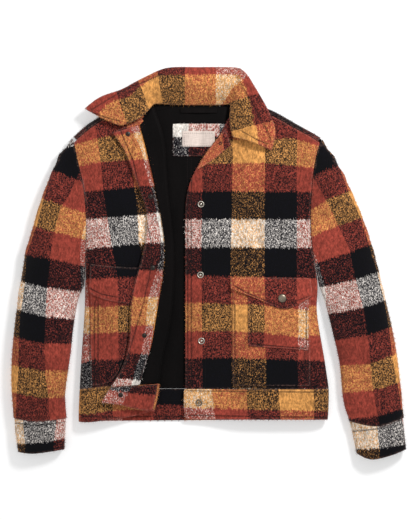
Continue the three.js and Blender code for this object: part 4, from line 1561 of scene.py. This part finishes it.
PANEL_SETS: dict[str, tuple[Panel, ...]] = {
    "body": (
        Panel("back", (0.482, 0.540), BACK_CHECK, 0.232, FLOOR, LEFT_OF_ALL),
        Panel("waistband_back", (0.475, 0.062), BACK_WAIST_CHECK, None, FLOOR),
        Panel("yoke_right", (0.026, 0.143), RIGHT_YOKE_CHECK, None, ON_BACK),
        Panel("yoke_left", (0.026, 0.169), LEFT_YOKE_CHECK, None, ON_BACK),
        Panel("right_front", (0.26, 0.535), RIGHT_FRONT_CHECK, 0.121, ON_BACK, FACING_RIM),
        Panel("waistband_right", (0.20, 0.07), RIGHT_WAIST_CHECK, None, ON_WAIST),
        # creases: The listed folds.
        Panel("left_front", (0.272, 0.535), LEFT_FRONT_CHECK, 0.12, ON_BACK + ON_LINING,
              finish=Wool(7.0)),
        Panel("waistband_left", (0.275, 0.06), LEFT_WAIST_CHECK, None, ON_WAIST),
        Panel("lapel", (0.04, 0.09), LAPEL_CHECK, 0.0018, ON_LEFT),
    ),
    "sleeves": (
        Panel("sleeve_right", (0.25, 0.54), RIGHT_SLEEVE_CHECK, 0.111, FLOOR),
        Panel("cuff_right", (0.20, 0.065), RIGHT_CUFF_CHECK, None, FLOOR),
        Panel("sleeve_left", (0.25, 0.545), LEFT_SLEEVE_CHECK, 0.115, FLOOR),
        Panel("cuff_left", (0.22, 0.065), LEFT_CUFF_CHECK, None, FLOOR),
    ),
    "collar": (
        Panel("collar", (0.40, 0.085), COLLAR_CHECK, 0.029, ON_RIGHT + ON_LEFT + ON_BACK),
    ),
    "inside": (
        Panel("back_lining", (0.154, 0.536), None, 0.052, ON_BACK, finish=LINING, slot="lining"),
        Panel("neck_patch", (0.101, 0.062), NECK_PATCH_CHECK, None, ON_LINING),
        Panel("label", (0.062, 0.03), None, None, ("neck_patch_cloth",), finish=LABEL,
              slot="label"),
        Panel("hanger_loop", (0.075, 0.010), None, None, ON_LINING, finish=TAPE, slot="lining"),
        Panel("front_facing", (0.07, 0.50), FACING_CHECK, 0.020, ON_RIGHT),
        Panel("front_lining", (0.06, 0.52), None, 0.012, ON_RIGHT, finish=LINING, slot="lining"),
        Panel("waistband_facing", (0.10, 0.05), WAIST_FACING_CHECK, 0.0040,
              ("waistband_right_cloth",)),
    ),
    "pockets": (
        Panel("hand_pocket_left", (0.147, 0.19), LEFT_FRONT_CHECK, None, ON_LEFT,
              finish=Wool(6.0)),
        Panel("patch_pocket", (0.114, 0.123), PATCH_CHECK, None, ("hand_pocket_left_cloth",)),
        Panel("hand_pocket_right", (0.076, 0.21), RIGHT_FRONT_CHECK, 0.0131, ON_RIGHT,
              finish=Wool(7.0)),
        Panel("flap_right", (0.108, 0.076), RIGHT_FRONT_CHECK, None, ON_RIGHT),
        Panel("flap_left", (0.155, 0.06), LEFT_FLAP_CHECK, 0.0072, ON_LEFT),
    ),
}


@dataclass(frozen=True)
class Nap:
    """Loose fibres brushed out of a wool piece, most of them at its rims.

    Args:
        density: Fibres to a square metre of open cloth.
        rims: How many times denser they are on the cloth's edges.
        length: Mean length, in millimetres.
        width: Width at the root, in millimetres.
        seed: Start of the random numbers.
    """

    density: float = 42000.0
    rims: float = 6.0
    length: float = 4.2
    width: float = 0.26
    seed: int = 11

    def build(self, piece: bpy.types.Object, panel: Panel, finishes: Finishes) -> bpy.types.Object:
        """Grows the fibres of one piece.

        Args:
            piece: The cloth.
            panel: What it was built from.
            finishes: Where the materials come from.

        Returns:
            The fibres, as one piece.
        """
        rng = np.random.default_rng(self.seed)
        polygons = piece.data.polygons
        middles, normals = read(polygons, "center", 3), read(polygons, "normal", 3)
        areas, finish = read(polygons, "area"), read(polygons, "material_index", kind=int)
        steep, hidden = 0.6, -0.3  # how far up the faces of rims look, and those out of sight
        scatter, sunk, clear = 0.35, 0.2, 0.3
        outward, wildness, fall = (0.15, 0.7), 0.4, -0.35
        shortest, longest, weft_share = 0.4, 1.3, 0.6
        share = np.where(normals[:, 2] < steep, self.rims, 1.0)
        share = share * (normals[:, 2] > hidden) * (finish == 0)
        at = np.repeat(np.arange(len(polygons)), rng.poisson(areas * share * self.density))
        normal = normals[at]
        across = rng.normal(size=(len(at), 3))
        across -= normal * np.sum(across * normal, axis=1)[:, None]
        spread = np.sqrt(areas[at])[:, None] * scatter
        root = middles[at] + across * spread - normal * sunk * MM
        wild = rng.normal(size=(len(at), 3))
        heading = normal * rng.uniform(*outward, (len(at), 1)) + wild * wildness
        heading = heading + np.array([0.0, fall, 0.0])
        heading /= np.linalg.norm(heading, axis=1)[:, None]
        length = self.length * MM * rng.uniform(shortest, longest, (len(at), 1))
        tip = root + heading * length
        tip[:, 2] = np.maximum(tip[:, 2], clear * MM)
        side = np.cross(heading, [0.0, 0.0, 1.0])
        side /= np.maximum(np.linalg.norm(side, axis=1), TINY)[:, None]
        half = side * self.width * MM / 2
        corners = np.stack([root - half, root + half, tip], axis=1).reshape(-1, 3)
        mesh = bpy.data.meshes.new(f"{panel.node}_nap")
        mesh.from_pydata(corners.tolist(), [], np.arange(len(corners)).reshape(-1, 3).tolist())
        yarns = list(Yarn)
        for yarn in yarns:
            mesh.materials.append(Fibre(yarn).make(finishes))
        turns = np.floor(panel.check.numbers(root)).astype(int) % len(WARP)
        weft = rng.random(len(at)) < weft_share
        mesh.polygons.foreach_set("material_index", [
            yarns.index(WEFT[row] if down else WARP[column])
            for (column, row), down in zip(turns, weft)
        ])
        mesh.update()
        return piece_of(mesh, mesh.name)


@dataclass(frozen=True)
class Allowance:
    """A seam allowance: a strip of cloth in a seam, which fills the gap between its two sides. Its
    black lining cloth is painted shade down in the seam, seen as a dark line.

    Args:
        name: The piece's name.
        flat: Its width and length, in metres. Not used.
        rests_on: The pieces that it lies on. Not used.
        stations: The pixels of its two edges, with its height in millimetres, along the strip.
        thickness: Its thickness, in millimetres.
    """

    name: str
    flat: tuple[float, float]
    rests_on: tuple[str, ...]
    stations: tuple[tuple[float, float, float, float, float], ...]
    thickness: float = 0.2

    def build(self, finishes: Finishes, drape: Drape) -> bpy.types.Object:
        """Builds the strip.

        Args:
            finishes: Where its material comes from.
            drape: The folds that the layers share.

        Returns:
            The strip.
        """
        places, faces = [], []
        for x0, y0, x1, y1, height in self.stations:
            for pixel in ((x0, y0), (x1, y1)):
                for side in (-0.5, 0.5):
                    z = (height + side * self.thickness) * MM
                    places.append(PHOTO.place(pixel) + Vector((0, 0, z)))
        last = len(places) - 4
        for k in range(0, last, 4):
            for a, b in ((1, 3), (3, 2), (2, 0), (0, 1)):
                faces.append((k + a, k + b, k + 4 + b, k + 4 + a))
        faces += [(0, 2, 3, 1), (last + 1, last + 3, last + 2, last)]
        values = np.array(places)
        values[:, 2] += drape.lift(values)
        mesh = bpy.data.meshes.new(self.name)
        mesh.from_pydata([tuple(v) for v in values], [], faces)
        # Black lining cloth: painted shade down in the seam.
        mesh.materials.append(LINING.make(finishes))
        piece = piece_of(mesh, self.name)
        return piece


# Black strips at the back neck and the left armhole: painted shade down in these seams.
ALLOWANCES = (
    Allowance("neck_allowance", (0.152, 0.010), ON_BACK, (
        (152, 100.9, 152, 106.4, 3.62), (160, 100.9, 160, 106.4, 3.42),
        (168, 100.9, 168, 106.0, 3.25), (192, 100.9, 192, 106.0, 3.25),
        (224, 100.9, 224, 106.0, 3.25), (232, 100.9, 232, 106.4, 3.45),
    )),
    Allowance("armhole_allowance", (0.0135, 0.195), ("sleeve_left_cloth",), (
        (316.6, 140.2, 320.9, 139.3, 14.5), (316.4, 143.2, 321.0, 141.2, 14.0),
        (315.0, 147, 322.6, 147, 12.5), (312.0, 160, 319.2, 160, 12.0),
        (308.4, 180, 315.6, 180, 12.0), (306.6, 200, 313.8, 200, 12.0),
        (306.2, 220, 313.4, 220, 12.0), (307.2, 240, 314.4, 240, 12.0),
    )),
)


@dataclass
class Jacket:
    """The cloth pieces, sub-assembly by sub-assembly.

    Args:
        finishes: Where the materials come from.
        drape: The folds that the layers share.
        nap: The wool's loose fibres.
        made: The cloth pieces made so far, by name.
    """

    finishes: Finishes
    drape: Drape = FOLDS
    nap: Nap = Nap()
    made: dict[str, bpy.types.Object] = field(default_factory=dict)

    def build(self, name: str) -> list[bpy.types.Object]:
        """Builds one sub-assembly.

        Args:
            name: The sub-assembly's name.

        Returns:
            Its pieces.
        """
        pieces = []
        for panel in PANEL_SETS[name]:
            piece = panel.build(self.finishes, self.drape)
            self.made[piece.name] = piece
            pieces.append(piece)
            if panel.check and panel.lined != LEFT_OF_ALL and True:
                pieces.append(self.nap.build(piece, panel, self.finishes))
        return pieces

    def surface(self) -> BVHTree:
        """Gathers every cloth face, to set metal and thread on.

        Returns:
            The faces.
        """
        points: list[Vector] = []
        faces: list[tuple[int, ...]] = []
        for piece in self.made.values():
            start = len(points)
            points += [v.co.copy() for v in piece.data.vertices]
            faces += [tuple(start + k for k in p.vertices) for p in piece.data.polygons]
        return BVHTree.FromPolygons(points, faces)


@dataclass(frozen=True)
class Threads:
    """The stitches of one piece, each a short raised thread on the cloth.

    Args:
        node: The node of the piece that they sew.
        pitch: Millimetres from one stitch to the next.
        length: Length of a stitch, in millimetres.
        radius: Half a thread's thickness, in millimetres.
    """

    node: str
    pitch: float = 3.6
    length: float = 2.5
    radius: float = 0.32

    def build(self, finishes: Finishes, cloth: BVHTree) -> bpy.types.Object:
        """Lays the stitches on the cloth.

        Args:
            finishes: Where their material comes from.
            cloth: The cloth's faces.

        Returns:
            The stitches, as one piece.
        """
        mesh = bmesh.new()
        step = self.pitch / MM_PER_PIXEL
        for row in (row for stitching in STITCHES[self.node] for row in stitching.rows()):
            gaps = np.linalg.norm(np.diff(row, axis=0), axis=1)
            run = np.concatenate([[0.0], np.cumsum(gaps)])
            for start in np.arange(0.0, run[-1] - step, step):
                ends = []
                for at in (start, start + self.length / MM_PER_PIXEL):
                    pixel = tuple(float(np.interp(at, run, row[:, k])) for k in (0, 1))
                    above = PHOTO.place(pixel) + Vector((0, 0, OVERHEAD))
                    ends.append(cloth.ray_cast(above, DOWN)[0])
                if None not in ends:
                    self.stitch(mesh, *ends)
        name = f"{self.node}_stitches"
        return piece_of(baked(mesh, name, THREAD.make(finishes)), name)

    def stitch(self, mesh: bmesh.types.BMesh, start: Vector, end: Vector) -> None:
        """Adds one stitch.

        Args:
            mesh: Mesh that it goes into.
            start: Its first end, on the cloth.
            end: Its other end.
        """
        radius = self.radius * MM
        heading = (end - start).normalized()
        side = heading.cross(UP).normalized()
        up = side.cross(heading)
        sides = 5
        thick, thin = (0.9, 0.35), (0.3, -0.8)  # share of the radius, and rise over the cloth
        rings = []
        for share, (size, rise) in ((0.0, thin), (0.2, thick), (0.8, thick), (1.0, thin)):
            middle = start.lerp(end, share) + up * radius * rise
            turns = [2 * math.pi * k / sides for k in range(sides)]
            rings.append([
                mesh.verts.new(middle + (side * math.cos(t) + up * math.sin(t)) * radius * size)
                for t in turns
            ])
        for lower, upper in zip(rings, rings[1:]):
            for k in range(sides):
                n = (k + 1) % sides
                mesh.faces.new((lower[k], upper[k], upper[n], lower[n]))
        mesh.faces.new(rings[0])
        mesh.faces.new(rings[-1][::-1])


@dataclass(frozen=True)
class Snap:
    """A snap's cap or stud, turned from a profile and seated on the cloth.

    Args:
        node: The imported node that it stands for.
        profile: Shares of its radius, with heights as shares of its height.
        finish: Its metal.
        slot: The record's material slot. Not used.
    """

    node: str
    profile: Points
    finish: Metal
    slot: str

    def build(self, finishes: Finishes, cloth: BVHTree) -> bpy.types.Object:
        """Builds the snap on the cloth under it.

        Args:
            finishes: Where its material comes from.
            cloth: The cloth's faces.

        Returns:
            The snap.
        """
        low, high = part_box(self.node)
        centre = (low + high) / 2
        radius = min(high.x - low.x, high.y - low.y) / 2
        rays, segments, rise = 8, 40, 0.33
        hits = []
        for turn in range(rays):
            angle = turn * math.pi / (rays / 2)
            start = Vector((centre.x + radius * math.cos(angle),
                            centre.y + radius * math.sin(angle), OVERHEAD))
            place, normal, _, _ = cloth.ray_cast(start, DOWN)
            if place is not None:
                hits.append((place, normal))
        normal = sum((n for _, n in hits), Vector()).normalized()
        seat = sum((p for p, _ in hits), Vector()) / len(hits)
        height = rise * radius
        turns = [2 * math.pi * k / segments for k in range(segments)]
        mesh = bmesh.new()
        rings = [
            [mesh.verts.new((radius * share * math.cos(t), radius * share * math.sin(t),
                             height * up)) for t in turns]
            for share, up in self.profile
        ]
        for lower, upper in zip(rings, rings[1:]):
            for k in range(segments):
                n = (k + 1) % segments
                mesh.faces.new((lower[k], lower[n], upper[n], upper[k]))
        mesh.faces.new(rings[-1])
        mesh.faces.new(rings[0][::-1])
        data = baked(mesh, f"{self.node}_metal", self.finish.make(finishes))
        turned = UP.rotation_difference(normal).to_matrix().to_4x4()
        turned.translation = seat
        data.transform(turned)
        return piece_of(data, data.name, self.node)


RING = ((0.98, -0.5), (1.0, 0.2), (0.95, 0.7), (0.86, 1.0), (0.74, 0.95), (0.64, 0.5),
        (0.58, -0.1), (0.5, -0.3), (0.36, -0.3), (0.32, 0.3), (0.26, 0.5), (0.05, 0.55))
DOME = ((0.98, -0.5), (1.0, 0.1), (0.95, 0.35), (0.84, 0.6), (0.66, 0.82), (0.45, 0.95),
        (0.22, 1.0), (0.04, 1.02))
STUD = ((0.98, -0.5), (1.0, 0.2), (0.9, 0.42), (0.7, 0.45), (0.5, 0.42), (0.46, 0.8),
        (0.42, 1.25), (0.3, 1.45), (0.05, 1.5))
SNAPS = (
    *(Snap(f"snap_{k}", RING, NICKEL, "snap") for k in (1, 2, 3)),
    Snap("snap_4", RING, DULL_NICKEL, "snap"),
    Snap("flap_snap", DOME, DULL_NICKEL, "snap"),
    Snap("lapel_snap", RING, GUNMETAL, "dark_snap"),
    *(Snap(f"stud_{k}", STUD, GUNMETAL, "dark_snap") for k in (1, 2, 3, 4, 5)),
)


@dataclass(frozen=True)
class Studio:
    """The floor, light and camera.

    Args:
        distance: Height of the camera over the floor, in metres.
        lens: Its focal length, in millimetres.
        sensor: Its sensor's width, in millimetres.
        reach: Half the floor's width, in metres.
        drop: How far the floor lies under the part, in metres.
        paper: Share of the light that the floor throws back.
        glow: Strength of the floor's own light.
        room: Strength of the light from all round.
        lamps: Each lamp's name, place and size in metres, and power in watts.
    """

    distance: float = 4.117
    lens: float = 150.0
    sensor: float = 36.0
    reach: float = 30.0
    drop: float = 0.0004
    paper: float = 0.7
    glow: float = 0.34
    room: float = 0.62
    lamps: tuple[tuple[str, tuple[float, float, float], float, float], ...] = (
        ("key", (0.95, 1.15, 1.4), 0.45, 32.0),
        ("fill", (-0.9, -0.4, 2.4), 2.0, 6.0),
    )

    def build(self) -> None:
        """Builds the studio."""
        self.floor()
        self.lights()
        self.camera()
        bpy.context.scene.view_settings.view_transform = "Standard"

    def floor(self) -> None:
        """Lays the pale floor."""
        half = self.reach
        mesh = bpy.data.meshes.new("floor")
        mesh.from_pydata([(-half, -half, 0), (half, -half, 0), (half, half, 0), (-half, half, 0)],
                         [], [(0, 1, 2, 3)])
        floor = placed("floor", mesh)
        floor.location.z = -self.drop
        material = bpy.data.materials.new("floor_paper")
        material.use_nodes = True
        Graph(material.node_tree).feed(material.node_tree.nodes["Principled BSDF"], {
            "Base Color": (self.paper, self.paper, self.paper, 1),
            "Emission Color": (1, 1, 1, 1), "Emission Strength": self.glow,
            "Roughness": 0.9, "Specular IOR Level": 0.1,
        })
        mesh.materials.append(material)

    def lights(self) -> None:
        """Hangs a broad soft light toward the collar, and lights the room."""
        world = bpy.data.worlds.new("room")
        world.use_nodes = True
        Graph(world.node_tree).feed(world.node_tree.nodes["Background"],
                                    {0: (1.0, 1.0, 1.0, 1), 1: self.room})
        bpy.context.scene.world = world
        for name, place, size, power in self.lamps:
            data = bpy.data.lights.new(name, "AREA")
            data.shape, data.size, data.energy = "DISK", size, power
            lamp = placed(name, data)
            lamp.location = place
            lamp.rotation_mode = "QUATERNION"
            lamp.rotation_quaternion = (-Vector(place)).to_track_quat("-Z", "Y")

    def camera(self) -> None:
        """Sets the camera straight over the jacket."""
        data = bpy.data.cameras.new("camera")
        data.lens, data.sensor_width, data.sensor_fit = self.lens, self.sensor, "AUTO"
        data.clip_start, data.clip_end = 0.1, 100.0
        camera = placed("camera", data)
        middle = PHOTO.place((PICTURE[0] / 2, PICTURE[1] / 2))
        camera.location = middle + Vector((0, 0, self.distance))
        bpy.context.scene.camera = camera


def main() -> None:
    """Builds the jacket, then the studio."""
    logging.basicConfig(level=logging.INFO, format="%(message)s")
    finishes = Finishes()
    jacket = Jacket(finishes)
    for name in PANEL_SETS:
        pieces = jacket.build(name)
        log.info("%s: %s", name, ", ".join(piece.name for piece in pieces))
    for allowance in ALLOWANCES:
        log.info("%s", allowance.build(finishes, jacket.drape).name)
    cloth = jacket.surface()
    for node in STITCHES:
        log.info("%s", Threads(node).build(finishes, cloth).name)
    for snap in SNAPS:
        log.info("%s", snap.build(finishes, cloth).name)
    Studio().build()


if __name__ == "__main__":
    main()
